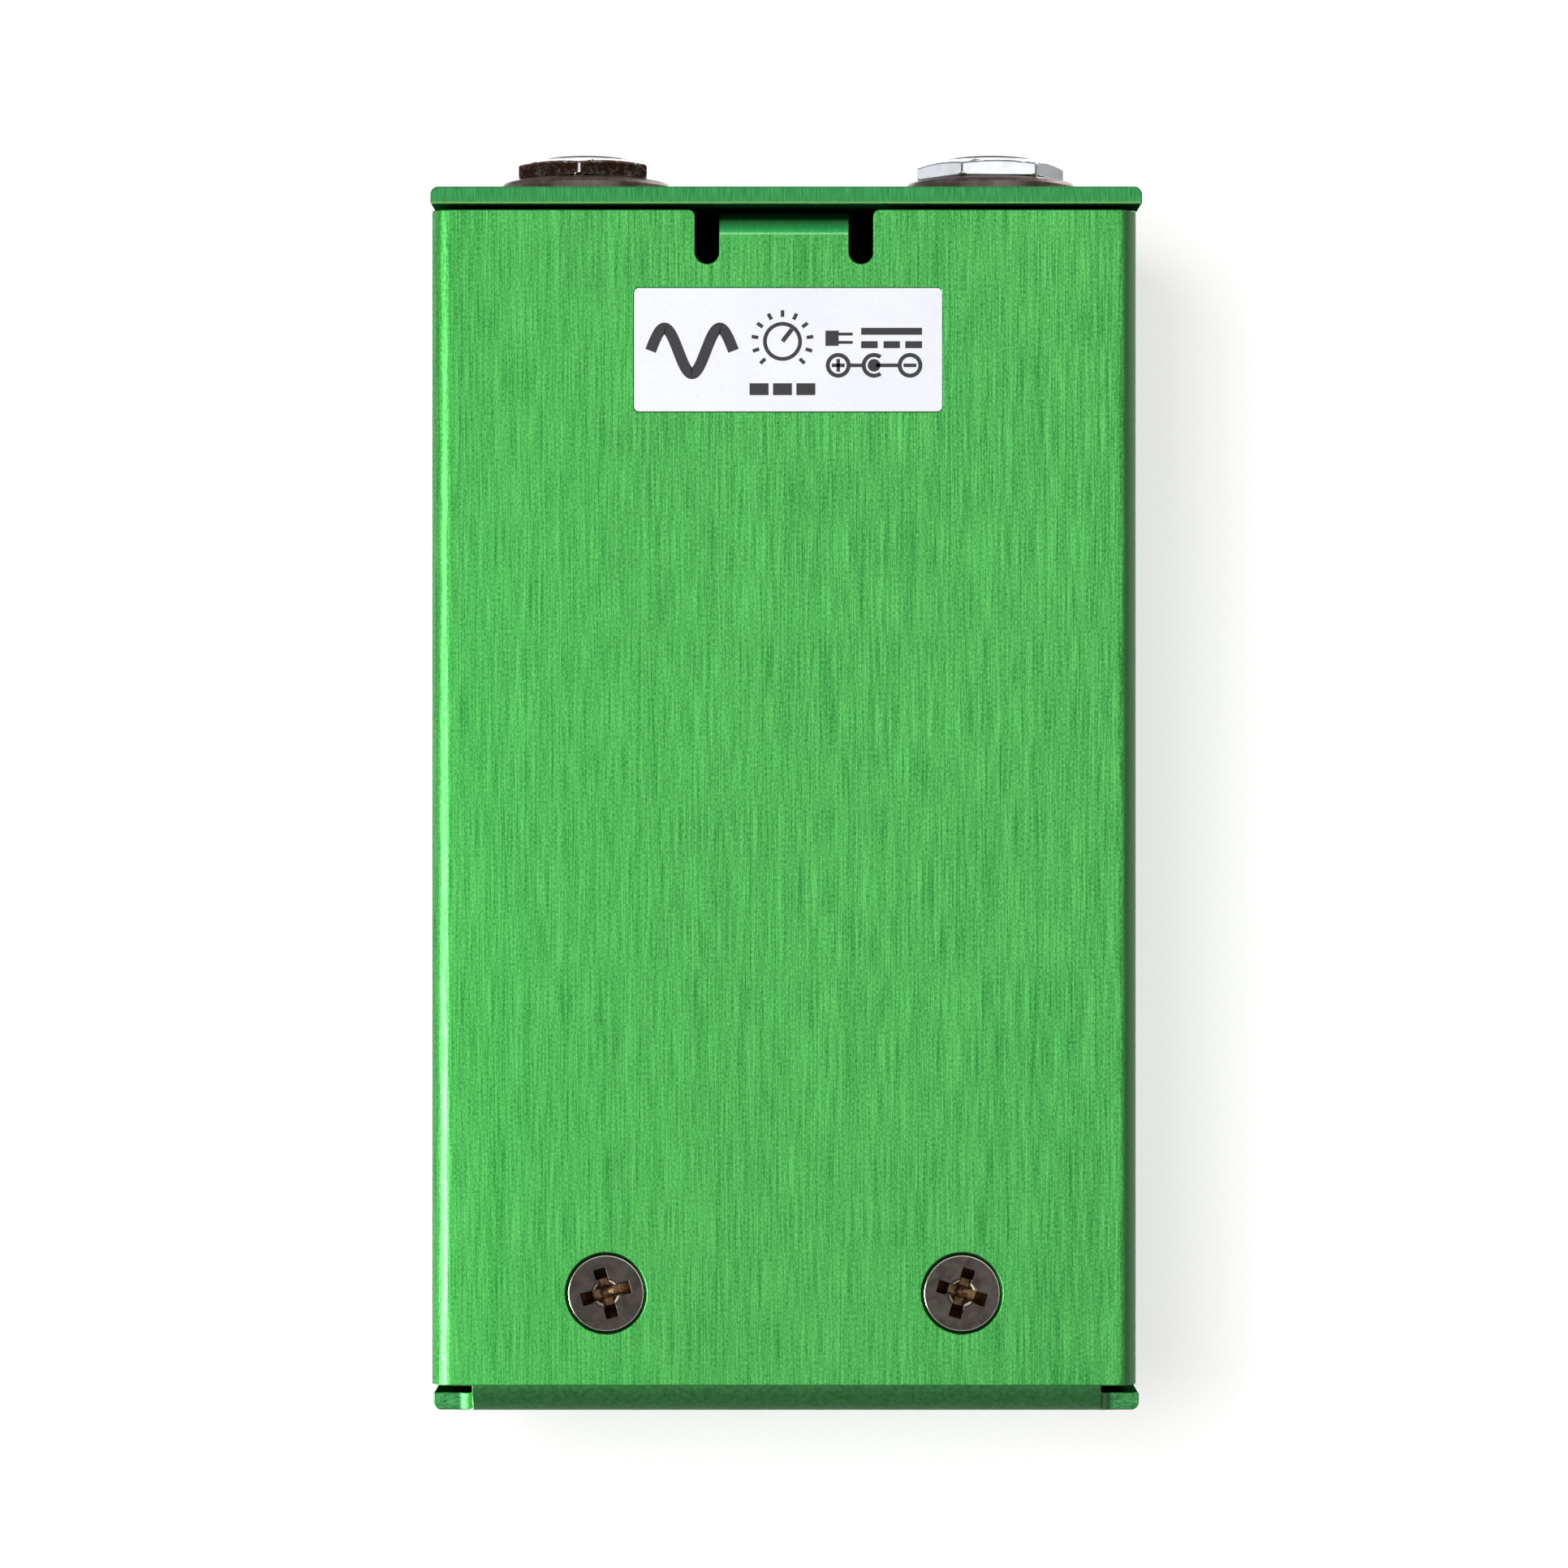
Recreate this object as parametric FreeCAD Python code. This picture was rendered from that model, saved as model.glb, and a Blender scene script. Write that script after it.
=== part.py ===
import FreeCAD, Part
import math
import os

# Guitar effects pedal: a two-piece folded aluminium enclosure with its jacks, controls and circuit.
# Units are millimetres. X runs across the pedal, +Y points at the rear wall that carries the jacks
# and +Z points up. The origin is the centre of the outer face of the base, which the pedal stands on.

Vector = FreeCAD.Vector

# ---- enclosure ----
SHEET = 1.6
BASE_WIDTH = 63.5
COVER_SIDES = (-32.2, 31.8)
COVER_LENGTH = 110.5
COVER_HEIGHT = 35.0
COVER_BEND = 0.5
FLANGE_BEND = 1.9
COVER_SIDE_EDGE = 0.7
BASE_BEND = 0.25
BASE_REAR_Y = 53.17
BASE_FRONT_Y = -52.55
SIDE_FRONT_Y = -53.05
WALL_GAP = 0.25
TOP_GAP = 0.2
REAR_WALL_LIFT = 0.15
FLANGE_REACH = 16.0
FLANGE_SIDES = (-28.6, 28.15)
CORNER_NOTCH_TOP = 5.1
CORNER_NOTCH_RADIUS = 1.4

SLOT_X = 6.92
SLOT_WIDTH = 2.15
SLOT_DEPTH = 4.87
SLOT_MOUTH_RADIUS = 0.6
TAB_FACE_Y = 52.98
TAB_HEIGHT = 9.0
TAB_BEND = 0.4

LABEL_SIZE = (27.7, 11.1)
LABEL_CENTRE = (-0.36, 40.55)
LABEL_CORNER = 0.45
LABEL_THICKNESS = 0.1

# ---- screws that hold the base to the cover's flange ----
SCREW_X = 16.0
SCREW_Y = -44.25
SCREW_TURNS = {16.0: -15.6, -16.0: 17.0}
SCREW_RADIUS = 1.75
HEAD_RADIUS = 3.455
HEAD_SUNK = 0.12
HEAD_EDGE = 0.08
SINK_RADIUS = 3.685
SCREW_TIP_Z = 7.4
CLINCH_HOLE_RADIUS = 2.9
THREAD_GAP = 0.02

# ---- jacks on the rear wall ----
JACK_X = {"input": 18.35, "output": -19.15}
JACK_Z = 17.5
JACK_TURNS = {"input": 86.0, "output": 126.0}
JACK_BORE_RADIUS = 3.25
JACK_FLOOR_Y = 28.7
JACK_MOUTH_EDGE = 0.2
JACK_BUSH_RADIUS = 4.7
JACK_HOLE_RADIUS = 4.9
JACK_END_SLOPE = 0.25
JACK_HALF_WIDTH = 7.6
JACK_HALF_HEIGHT = 7.2
JACK_BACK_Y = 27.5
JACK_WASHER_HEIGHT = 2.15
JACK_WASHER_RADIUS = 7.9
JACK_NUT_FLATS = 12.0
JACK_NUT_SIDE = 1.25
JACK_NUT_FOOT = 0.15
TIP_POCKET_Y = (29.6, 38.6)
SLEEVE_POCKET_Y = (42.6, 51.6)
CONTACT_SHEET = 0.4

DC_BORE_RADIUS = 3.0
DC_BORE_DEPTH = 10.05
DC_PIN_RADIUS = 1.0
DC_PIN_STEP = 0.4
DC_BOSS_RADIUS = 5.0
DC_HOLE_RADIUS = 5.2
DC_PROUD = 0.4
DC_BACK_Y = 43.0
DC_HALF_WIDTH = 4.6
DC_HALF_HEIGHT = 7.2

# ---- controls on the top ----
POTS = {"left": (-19.0, 33.5), "centre": (0.0, 21.0), "right": (19.0, 33.5)}
POT_SHAFT_RADIUS = 3.0
RUNNING_GAP = 0.05
POT_BUSH_RADIUS = 3.5
POT_BUSH_PROUD = 3.6
POT_HOLE_RADIUS = 3.7
POT_HALF_X = 4.9
POT_HALF_Y = 5.7
POT_WAFER = 1.2
POT_WASHER_HEIGHT = 0.5
POT_NUT_FLATS = 10.0
POT_NUT_HEIGHT = 2.0
ROTOR_RADIUS = 4.1
ROTOR_Z = (28.7, 29.8)

KNOB_RADIUS = 8.5
KNOB_TOP_RADIUS = 7.7
KNOB_LOW_Z = 36.2
KNOB_TOP_Z = 50.0
KNOB_SKIRT_TOP_Z = 38.4
KNOB_EDGE = 1.1
KNOB_FLUTES = 20
KNOB_HOLLOW_RADIUS = 6.7
POINTER_WIDTH = 1.1
POINTER_DEPTH = 0.35
GRUB_RADIUS = 1.5
GRUB_LENGTH = 4.2
GRUB_Z = 43.5

LED_Y = 41.5
LED_RADIUS = 2.5
LED_HOLE_RADIUS = 3.5

SWITCH_Y = -33.0
SWITCH_BUSH_RADIUS = 6.0
SWITCH_BUSH_TOP_Z = 41.2
SWITCH_HOLE_RADIUS = 6.15
SWITCH_THREAD_PITCH = 0.75
DRESS_WASHER_HEIGHT = 1.0
DRESS_NUT_FLATS = 15.0
DRESS_NUT_HEIGHT = 2.7
LOCK_NUT_FLATS = 14.0
LOCK_NUT_HEIGHT = 2.2
LOCK_WASHER_RADIUS = 8.4
LOCK_WASHER_HEIGHT = 0.9
LOCK_WASHER_TEETH = 12
PLUNGER_RADIUS = 4.85
PLUNGER_TOP_Z = 50.5
PLUNGER_STOP_Z = 28.3
PLUNGER_RIM = 1.7
SWITCH_HALF = 8.6
SWITCH_LOW_Z = 13.0
SWITCH_TOP_Z = 28.6
CHAMBER_RADIUS = 6.9
CHAMBER_LOW_Z = 16.0
CRADLE_SHEET = 0.8
CRADLE_GAP = 0.1
LUG_SPACING = (5.0, 4.8)
SPRING_WIRE = 0.4
SPRING_RADIUS = 4.6
SPRING_TURNS = 5
SPRING_RUNS = 16
MITRED = 1

# ---- circuit boards ----
BOARD = 1.6
BOARD_Z = 24.7
BOARD_X = 29.0
BOARD_Y = (8.0, 52.5)
SWITCH_BOARD_Z = 10.2
SWITCH_BOARD_HALF = 10.5
LEG_OUT = 1.3
RIBBON_HALF = 5.7
RIBBON_REAR_Y = 12.0
RIBBON_FRONT_Y = -23.4
RIBBON_RUN_Z = 18.5
CHIP_PLACES = [(-14.0, 17.0), (14.0, 17.0)]
CAN_PLACES = [(-25.0, 21.0), (-25.0, 13.0), (25.0, 21.0), (25.0, 13.0)]
FILM_PLACES = [(-6.0, 20.5), (0.0, 24.6), (6.0, 20.5), (-19.0, 24.2), (19.0, 24.2)]
RESISTOR_ROWS = [(-8.4, 46.0, 3), (3.6, 46.0, 3), (-28.0, 44.0, 2), (25.6, 44.0, 2)]
RESISTOR_STEP = 2.4
TRANSISTOR_PLACES = [(-19.5, 10.6), (19.5, 10.6)]

# ---- worked out ----
REAR_Y = COVER_LENGTH / 2
REAR_IN_Y = REAR_Y - SHEET
FRONT_Y = -REAR_Y
TOP_Z = COVER_HEIGHT
CEILING_Z = TOP_Z - SHEET
BOARD_TOP_Z = BOARD_Z + BOARD
SWITCH_BOARD_TOP_Z = SWITCH_BOARD_Z + BOARD
POT_WASHER_TOP_Z = TOP_Z + POT_WASHER_HEIGHT
SHAFT_TOP_Z = KNOB_TOP_Z - 1.8
LEG_TOP_Z = BOARD_TOP_Z + LEG_OUT
DRESS_NUT_TOP_Z = TOP_Z + DRESS_WASHER_HEIGHT + DRESS_NUT_HEIGHT
SWITCH_LUGS = [(column * LUG_SPACING[0], SWITCH_Y + row * LUG_SPACING[1])
               for column in (-1, 0, 1) for row in (-1, 0, 1)]


def block(x_range, y_range, z_range):
    """Box between three pairs of limits."""
    size = [high - low for low, high in (x_range, y_range, z_range)]
    return Part.makeBox(*size, Vector(x_range[0], y_range[0], z_range[0]))


def rod(radius, start, end):
    """Cylinder of the given radius from one point to another."""
    path = Vector(*end) - Vector(*start)
    return Part.makeCylinder(radius, path.Length, Vector(*start), path)


def tube(outer, inner, start, end):
    """Ring or pipe from one point to another."""
    return rod(outer, start, end).cut(rod(inner, start, end))


def about(centre, half):
    """Pair of limits at the same distance each side of a centre."""
    return (centre - half, centre + half)


def turned(profile):
    """Solid of revolution about Z from (radius, height) points."""
    points = [Vector(radius, 0, height) for radius, height in profile]
    outline = Part.Face(Part.makePolygon(points + points[:1]))
    return outline.revolve(Vector(0, 0, 0), Vector(0, 0, 1), 360)


def placed(shape, place, axis=(0, 0, 1), turn=0.0):
    """Copy of a shape, turned about its own Z, then stood on a point with its Z along an axis."""
    spin = FreeCAD.Rotation(Vector(0, 0, 1), turn)
    stand = FreeCAD.Rotation(Vector(0, 0, 1), Vector(*axis))
    moved = shape.copy()
    moved.Placement = FreeCAD.Placement(Vector(*place), stand.multiply(spin))
    return moved


def fused(shapes):
    """One solid from shapes that touch or overlap."""
    whole = shapes[0]
    for shape in shapes[1:]:
        whole = whole.fuse(shape)
    return whole.removeSplitter()


def cut_all(shape, tools):
    """Shape with every tool taken out of it."""
    for tool in tools:
        shape = shape.cut(tool)
    return shape


def rounded_path(corners, radii):
    """Straight edges through the corners, with a tangent arc at each inner corner."""
    edges = []
    start = corners[0]
    for before, corner, after, radius in zip(corners, corners[1:], corners[2:], radii):
        back = (before - corner).normalize()
        ahead = (after - corner).normalize()
        half_angle = back.getAngle(ahead) / 2
        bisector = (back + ahead).normalize()
        arc_start = corner + back * (radius / math.tan(half_angle))
        arc_end = corner + ahead * (radius / math.tan(half_angle))
        middle = corner + bisector * (radius / math.sin(half_angle) - radius)
        edges.append(Part.LineSegment(start, arc_start).toShape())
        edges.append(Part.Arc(arc_start, middle, arc_end).toShape())
        start = arc_end
    edges.append(Part.LineSegment(start, corners[-1]).toShape())
    return edges


def folded_sheet(points, thickness, bend, place, extrusion):
    """Folded strip. The (u, v) points run along one face, and the sheet lies on their left.

    bend is the inner radius of every fold or a list of them, and place turns (u, v) into a point.
    """
    bends = bend if isinstance(bend, list) else [bend] * (len(points) - 2)
    steps = [(q[0] - p[0], q[1] - p[1]) for p, q in zip(points, points[1:])]
    normals = [(-v / math.hypot(u, v), u / math.hypot(u, v)) for u, v in steps]
    near_radii = []
    far_radii = []
    far = [(points[0][0] + normals[0][0] * thickness, points[0][1] + normals[0][1] * thickness)]
    for corner, one, two, inner in zip(points[1:], normals, normals[1:], bends):
        turns_left = one[0] * two[1] - one[1] * two[0] > 0
        near_radii.append(inner + thickness if turns_left else inner)
        far_radii.append(inner if turns_left else inner + thickness)
        scale = thickness / (1 + one[0] * two[0] + one[1] * two[1])
        far.append((corner[0] + (one[0] + two[0]) * scale, corner[1] + (one[1] + two[1]) * scale))
    last = normals[-1]
    far.append((points[-1][0] + last[0] * thickness, points[-1][1] + last[1] * thickness))
    near_side = [place(u, v) for u, v in points]
    far_side = [place(u, v) for u, v in reversed(far)]
    edges = rounded_path(near_side, near_radii)
    edges.append(Part.LineSegment(near_side[-1], far_side[0]).toShape())
    edges += rounded_path(far_side, far_radii[::-1])
    edges.append(Part.LineSegment(far_side[-1], near_side[0]).toShape())
    return Part.Face(Part.Wire(edges)).extrude(Vector(*extrusion))


def rounded_plate(size, centre, corner, z_range):
    """Upright plate with rounded corners."""
    half_x, half_y = size[0] / 2, size[1] / 2
    x, y = centre
    low = z_range[0]
    corners = [(x, y - half_y), (x + half_x, y - half_y), (x + half_x, y + half_y)]
    corners += [(x - half_x, y + half_y), (x - half_x, y - half_y), (x, y - half_y)]
    path = rounded_path([Vector(u, v, low) for u, v in corners], [corner] * 4)
    return Part.Face(Part.Wire(path)).extrude(Vector(0, 0, z_range[1] - low))


def hexagon(across_flats, height):
    """Hexagonal prism on Z, with a corner at angle zero."""
    corner = across_flats / math.sqrt(3)
    angles = [math.radians(60 * step) for step in range(7)]
    points = [Vector(corner * math.cos(angle), corner * math.sin(angle), 0) for angle in angles]
    return Part.Face(Part.makePolygon(points)).extrude(Vector(0, 0, height))


def hex_nut(across_flats, height, hole_radius, hole_edge=0.3):
    """Hexagon nut on Z with its corners turned off at both ends, a corner at angle zero."""
    corner = across_flats / math.sqrt(3)
    face = across_flats / 2 * 0.985
    drop = (corner - face) * math.tan(math.radians(30))
    blank = turned([(0, 0), (face, 0), (corner, drop), (corner, height - drop), (face, height), (0, height)])
    mouth = hole_radius + hole_edge
    hole = turned([(0, 0), (mouth, 0), (hole_radius, hole_edge), (hole_radius, height - hole_edge),
                   (mouth, height), (0, height)])
    return hexagon(across_flats, height).common(blank).cut(hole)


def quarter_round(start_radius, height, size, steps=6):
    """Points of a rounded edge, from its side up to its top, about (start_radius, height)."""
    angles = [math.radians(90 * step / steps) for step in range(steps + 1)]
    return [(start_radius + size * math.cos(angle), height + size * math.sin(angle)) for angle in angles]


def thread_profile(radius, low, high, pitch):
    """Points up the side of a bushing whose thread crests repeat at the pitch."""
    points = []
    turns = int((high - low) / pitch)
    for step in range(turns):
        start = high - (turns - step) * pitch
        points += [(radius, start), (radius, start + 0.2 * pitch)]
        points.append((radius - 0.45 * pitch, start + 0.6 * pitch))
    points.append((radius, high - 0.01))
    return points


def upright(x):
    """Place function for a section drawn in the plane across X."""
    return lambda u, v: Vector(x, u, v)


def crosswise(y):
    """Place function for a section drawn in the plane across Y."""
    return lambda u, v: Vector(u, y, v)


# ---- enclosure pieces ----


def make_cover():
    """Top, front wall, rear wall and the front flange that the screws hold, folded from one sheet."""
    low_x, high_x = COVER_SIDES
    flange_end = FRONT_Y + FLANGE_REACH
    outline = [(REAR_Y, REAR_WALL_LIFT), (REAR_Y, TOP_Z), (FRONT_Y, TOP_Z)]
    outline += [(FRONT_Y, SHEET), (flange_end, SHEET)]
    bends = [COVER_BEND, COVER_BEND, FLANGE_BEND]
    cover = folded_sheet(outline, SHEET, bends, upright(low_x), (high_x - low_x, 0, 0))
    sides = [Vector(x, 0, TOP_Z) for x in COVER_SIDES]
    edges = [edge for edge in cover.Edges for spot in sides if edge.CenterOfMass.distanceToPoint(spot) < 0.01]
    cover = cover.makeFillet(COVER_SIDE_EDGE, edges)
    tools = []
    for side, notch_x, side_x in zip((-1, 1), FLANGE_SIDES, COVER_SIDES):
        beyond_x = side_x + side
        corners = [(notch_x, -1), (notch_x, CORNER_NOTCH_TOP), (beyond_x, CORNER_NOTCH_TOP)]
        spots = [Vector(x, FRONT_Y - 1, z) for x, z in corners]
        edges = rounded_path(spots, [CORNER_NOTCH_RADIUS])
        below = Vector(beyond_x, FRONT_Y - 1, -1)
        edges.append(Part.LineSegment(spots[-1], below).toShape())
        edges.append(Part.LineSegment(below, spots[0]).toShape())
        tools.append(Part.Face(Part.Wire(edges)).extrude(Vector(0, FLANGE_REACH + 2, 0)))
        screw = (side * SCREW_X, SCREW_Y)
        tools.append(rod(CLINCH_HOLE_RADIUS, (*screw, SHEET - 1), (*screw, 2 * SHEET + 1)))
    for x in JACK_X.values():
        tools.append(rod(JACK_HOLE_RADIUS, (x, REAR_IN_Y - 1, JACK_Z), (x, REAR_Y + 1, JACK_Z)))
    tools.append(rod(DC_HOLE_RADIUS, (0, REAR_IN_Y - 1, JACK_Z), (0, REAR_Y + 1, JACK_Z)))
    top_holes = [(place, POT_HOLE_RADIUS) for place in POTS.values()]
    top_holes += [((0, LED_Y), LED_HOLE_RADIUS), ((0, SWITCH_Y), SWITCH_HOLE_RADIUS)]
    for place, radius in top_holes:
        tools.append(rod(radius, (*place, CEILING_Z - 1), (*place, TOP_Z + 1)))
    return cut_all(cover, tools)


def make_base():
    """Bottom plate and both side walls, folded from one sheet, with a bent tab at the rear edge."""
    half = BASE_WIDTH / 2
    side_top = CEILING_Z - TOP_GAP
    side_end = REAR_IN_Y - WALL_GAP
    outline = [(-half, side_top), (-half, 0), (half, 0), (half, side_top)]
    run = (0, side_end - SIDE_FRONT_Y, 0)
    base = folded_sheet(outline, SHEET, BASE_BEND, crosswise(SIDE_FRONT_Y), run)
    wide = (-half - 1, half + 1)
    relief_z = (-1, CORNER_NOTCH_TOP + 0.2)
    slot_bottom = BASE_REAR_Y - SLOT_DEPTH
    slot_centre = slot_bottom + SLOT_WIDTH / 2
    tab_half = SLOT_X - SLOT_WIDTH / 2
    sheet_z = (-1, SHEET + 1)
    tools = [block(wide, (SIDE_FRONT_Y - 1, BASE_FRONT_Y), relief_z)]
    tools.append(block(wide, (BASE_REAR_Y, side_end + 1), relief_z))
    tools.append(block(about(0, tab_half), (slot_centre, BASE_REAR_Y + 1), sheet_z))
    for side in (-1, 1):
        slot_x = side * SLOT_X
        tools.append(block(about(slot_x, SLOT_WIDTH / 2), (slot_centre, BASE_REAR_Y + 1), sheet_z))
        tools.append(rod(SLOT_WIDTH / 2, (slot_x, slot_centre, -1), (slot_x, slot_centre, SHEET + 1)))
        sink = turned([(0, 0), (SINK_RADIUS, 0), (SINK_RADIUS - SHEET, SHEET), (0, SHEET)])
        tools.append(placed(sink, (side * SCREW_X, SCREW_Y, 0)))
    base = cut_all(base, tools)
    mouth_x = SLOT_X + SLOT_WIDTH / 2
    mouths = [Vector(side * mouth_x, BASE_REAR_Y, SHEET / 2) for side in (-1, 1)]
    edges = [edge for edge in base.Edges for spot in mouths if edge.CenterOfMass.distanceToPoint(spot) < 0.01]
    base = base.makeFillet(SLOT_MOUTH_RADIUS, edges)
    tab_outline = [(slot_centre, 0), (TAB_FACE_Y, 0), (TAB_FACE_Y, TAB_HEIGHT)]
    tab = folded_sheet(tab_outline, SHEET, TAB_BEND, upright(-tab_half), (2 * tab_half, 0, 0))
    base = fused([base, tab])
    return base.cut(make_label())


def make_label():
    """Printed specification plate, level with the outer face of the base."""
    return rounded_plate(LABEL_SIZE, LABEL_CENTRE, LABEL_CORNER, (0, LABEL_THICKNESS))


def cross_recess():
    """Cross-shaped driver recess that narrows with depth, drawn into +Z from zero."""
    depth = 1.9
    mouth = (4.55, 1.1)
    floor = (2.5, 0.8)
    wings = []
    for turn in (0, 90):
        rims = []
        for (length, width), height in ((mouth, -0.01), (floor, depth)):
            corners = [(-length / 2, -width / 2), (length / 2, -width / 2)]
            corners += [(length / 2, width / 2), (-length / 2, width / 2)]
            points = [Vector(u, v, height) for u, v in corners]
            rims.append(Part.makePolygon(points + points[:1]))
        wings.append(placed(Part.makeLoft(rims, True), (0, 0, 0), turn=turn))
    pit = turned([(0, -0.01), (1.32, -0.01), (0.75, 0.9), (0.6, 1.95), (0, 2.25)])
    return fused(wings + [pit])


def make_cover_screws():
    """Two countersunk cross-recess machine screws, their heads just below the face of the base."""
    neck_z = HEAD_SUNK + HEAD_EDGE + HEAD_RADIUS - SCREW_RADIUS
    profile = [(0, HEAD_SUNK), (HEAD_RADIUS - HEAD_EDGE, HEAD_SUNK), (HEAD_RADIUS, HEAD_SUNK + HEAD_EDGE)]
    profile += [(SCREW_RADIUS, neck_z), (SCREW_RADIUS, SCREW_TIP_Z - 0.4), (SCREW_RADIUS - 0.4, SCREW_TIP_Z)]
    profile += [(0, SCREW_TIP_Z)]
    screw = turned(profile).cut(placed(cross_recess(), (0, 0, HEAD_SUNK)))
    return [placed(screw, (x, SCREW_Y, 0), turn=turn) for x, turn in SCREW_TURNS.items()]


def make_clinch_nuts():
    """Two press-in nuts in the cover's flange."""
    hole = SCREW_RADIUS + THREAD_GAP
    profile = [(hole, 2.0), (CLINCH_HOLE_RADIUS, 2.0), (CLINCH_HOLE_RADIUS, 2 * SHEET), (4.1, 2 * SHEET)]
    profile += [(4.1, 5.2), (3.8, 5.5), (hole, 5.5)]
    nut = turned(profile)
    return [placed(nut, (side * SCREW_X, SCREW_Y, 0)) for side in (-1, 1)]


# ---- jacks ----


def leaf_pocket(x, y_range):
    """Room above a jack's bore for one spring contact."""
    return block(about(x, 1.9), y_range, (JACK_Z, JACK_Z + JACK_HALF_HEIGHT + 1))


def jack_end(radius):
    """Height off the rear wall of the shallow cone that a jack's nut and bushing end in."""
    corner = JACK_NUT_FLATS / math.sqrt(3)
    return JACK_WASHER_HEIGHT + JACK_NUT_SIDE + (corner - radius) * JACK_END_SLOPE


def make_jack_housing(x):
    """Moulded quarter-inch jack body with its threaded bushing, blind bore and contact pockets."""
    body = block(about(x, JACK_HALF_WIDTH), (JACK_BACK_Y, REAR_IN_Y), about(JACK_Z, JACK_HALF_HEIGHT))
    wide = JACK_BORE_RADIUS + JACK_MOUTH_EDGE
    mouth = SHEET + jack_end(wide)
    bush = turned([(0, 0), (JACK_BUSH_RADIUS, 0), (JACK_BUSH_RADIUS, SHEET + jack_end(JACK_BUSH_RADIUS)),
                   (wide, mouth), (0, mouth)])
    housing = fused([body, placed(bush, (x, REAR_IN_Y, JACK_Z), (0, 1, 0))])
    depth = REAR_IN_Y + mouth - JACK_FLOOR_Y
    bore = turned([(0, 0), (JACK_BORE_RADIUS, 0), (JACK_BORE_RADIUS, depth - JACK_MOUTH_EDGE),
                   (wide, depth), (0, depth)])
    tools = [placed(bore, (x, JACK_FLOOR_Y, JACK_Z), (0, 1, 0))]
    tools += [leaf_pocket(x, TIP_POCKET_Y), leaf_pocket(x, SLEEVE_POCKET_Y)]
    return cut_all(housing, tools)


def make_leaf(x, pocket_y, leg_top_z):
    """Spring contact lying just clear of a plug in the bore, with a leg up into the board."""
    leg_y = pocket_y[0] + 0.9
    leaf_z = JACK_Z + JACK_BORE_RADIUS + CONTACT_SHEET + 0.05
    outline = [(pocket_y[1] - 0.6, leaf_z + 1.1), (pocket_y[1] - 2.6, leaf_z)]
    outline += [(leg_y, leaf_z), (leg_y, leg_top_z)]
    return folded_sheet(outline, CONTACT_SHEET, 0.5, upright(x - 0.8), (1.6, 0, 0))


def jack_stack(shape, height):
    """A shape threaded on both jack bushings, its foot at a height off the rear wall."""
    stack = []
    for side, x in JACK_X.items():
        stack.append(placed(shape, (x, REAR_Y + height, JACK_Z), (0, 1, 0), JACK_TURNS[side]))
    return stack


def make_jack_washers():
    """Two domed washers between the rear wall and the jack nuts."""
    hole = JACK_BUSH_RADIUS + 0.1
    radius = JACK_WASHER_RADIUS
    height = JACK_WASHER_HEIGHT
    profile = [(hole, 0), (radius, 0), (radius, height - 0.6), (radius - 0.2, height - 0.3)]
    profile += [(radius - 0.9, height - 0.05), (radius - 1.6, height), (hole, height)]
    return jack_stack(turned(profile), 0)


def make_jack_nuts():
    """Two hexagon nuts with coned outer ends that clamp the jacks to the rear wall."""
    corner = JACK_NUT_FLATS / math.sqrt(3)
    hole = JACK_BUSH_RADIUS + THREAD_GAP
    end = jack_end(hole) - JACK_WASHER_HEIGHT
    blank = turned([(hole, 0), (corner - 2 * JACK_NUT_FOOT, 0), (corner, JACK_NUT_FOOT),
                    (corner, JACK_NUT_SIDE), (hole, end)])
    return jack_stack(hexagon(JACK_NUT_FLATS, 2 * end).common(blank), JACK_WASHER_HEIGHT)


def make_dc_housing():
    """Power socket body with its boss through the rear wall."""
    body = block(about(0, DC_HALF_WIDTH), (DC_BACK_Y, REAR_IN_Y), about(JACK_Z, DC_HALF_HEIGHT))
    front_y = REAR_Y + DC_PROUD
    boss = rod(DC_BOSS_RADIUS, (0, REAR_IN_Y, JACK_Z), (0, front_y, JACK_Z))
    shoulder = rod(DC_BOSS_RADIUS, (0, REAR_IN_Y - 2, JACK_Z), (0, REAR_IN_Y, JACK_Z))
    floor_y = front_y - DC_BORE_DEPTH
    tools = [rod(DC_BORE_RADIUS, (0, floor_y, JACK_Z), (0, front_y + 1, JACK_Z))]
    tools.append(rod(DC_PIN_RADIUS + DC_PIN_STEP, (0, DC_BACK_Y - 1, JACK_Z), (0, floor_y, JACK_Z)))
    tools.append(block(about(0, 1.5), (DC_BACK_Y + 3.2, DC_BACK_Y + 8.8), (JACK_Z + 2, BOARD_Z + 1)))
    return cut_all(fused([body, boss, shoulder]), tools)


def make_dc_pin():
    """Centre pin of the power socket with its rear lug up to the board."""
    front_y = REAR_Y + DC_PROUD
    floor_y = front_y - DC_BORE_DEPTH
    root_length = floor_y - DC_BACK_Y
    tip = front_y - 1.0 - DC_BACK_Y
    root = DC_PIN_RADIUS + DC_PIN_STEP
    profile = [(0, 0), (root, 0), (root, root_length), (DC_PIN_RADIUS, root_length)]
    profile += [(DC_PIN_RADIUS, tip - 0.5), (0.5, tip), (0, tip)]
    pin = placed(turned(profile), (0, DC_BACK_Y, JACK_Z), (0, 1, 0))
    lug = block(about(0, 0.9), (DC_BACK_Y - 0.7, DC_BACK_Y), (JACK_Z - 1.2, LEG_TOP_Z))
    return fused([pin, lug])


def make_dc_contact():
    """Outer spring contact of the power socket."""
    leg_y = DC_BACK_Y + 4.0
    leaf_z = JACK_Z + DC_BORE_RADIUS + CONTACT_SHEET + 0.05
    outline = [(leg_y + 4.0, leaf_z), (leg_y, leaf_z), (leg_y, LEG_TOP_Z)]
    return folded_sheet(outline, CONTACT_SHEET, 0.4, upright(-0.9), (1.8, 0, 0))


# ---- control pots and knobs ----


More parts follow.
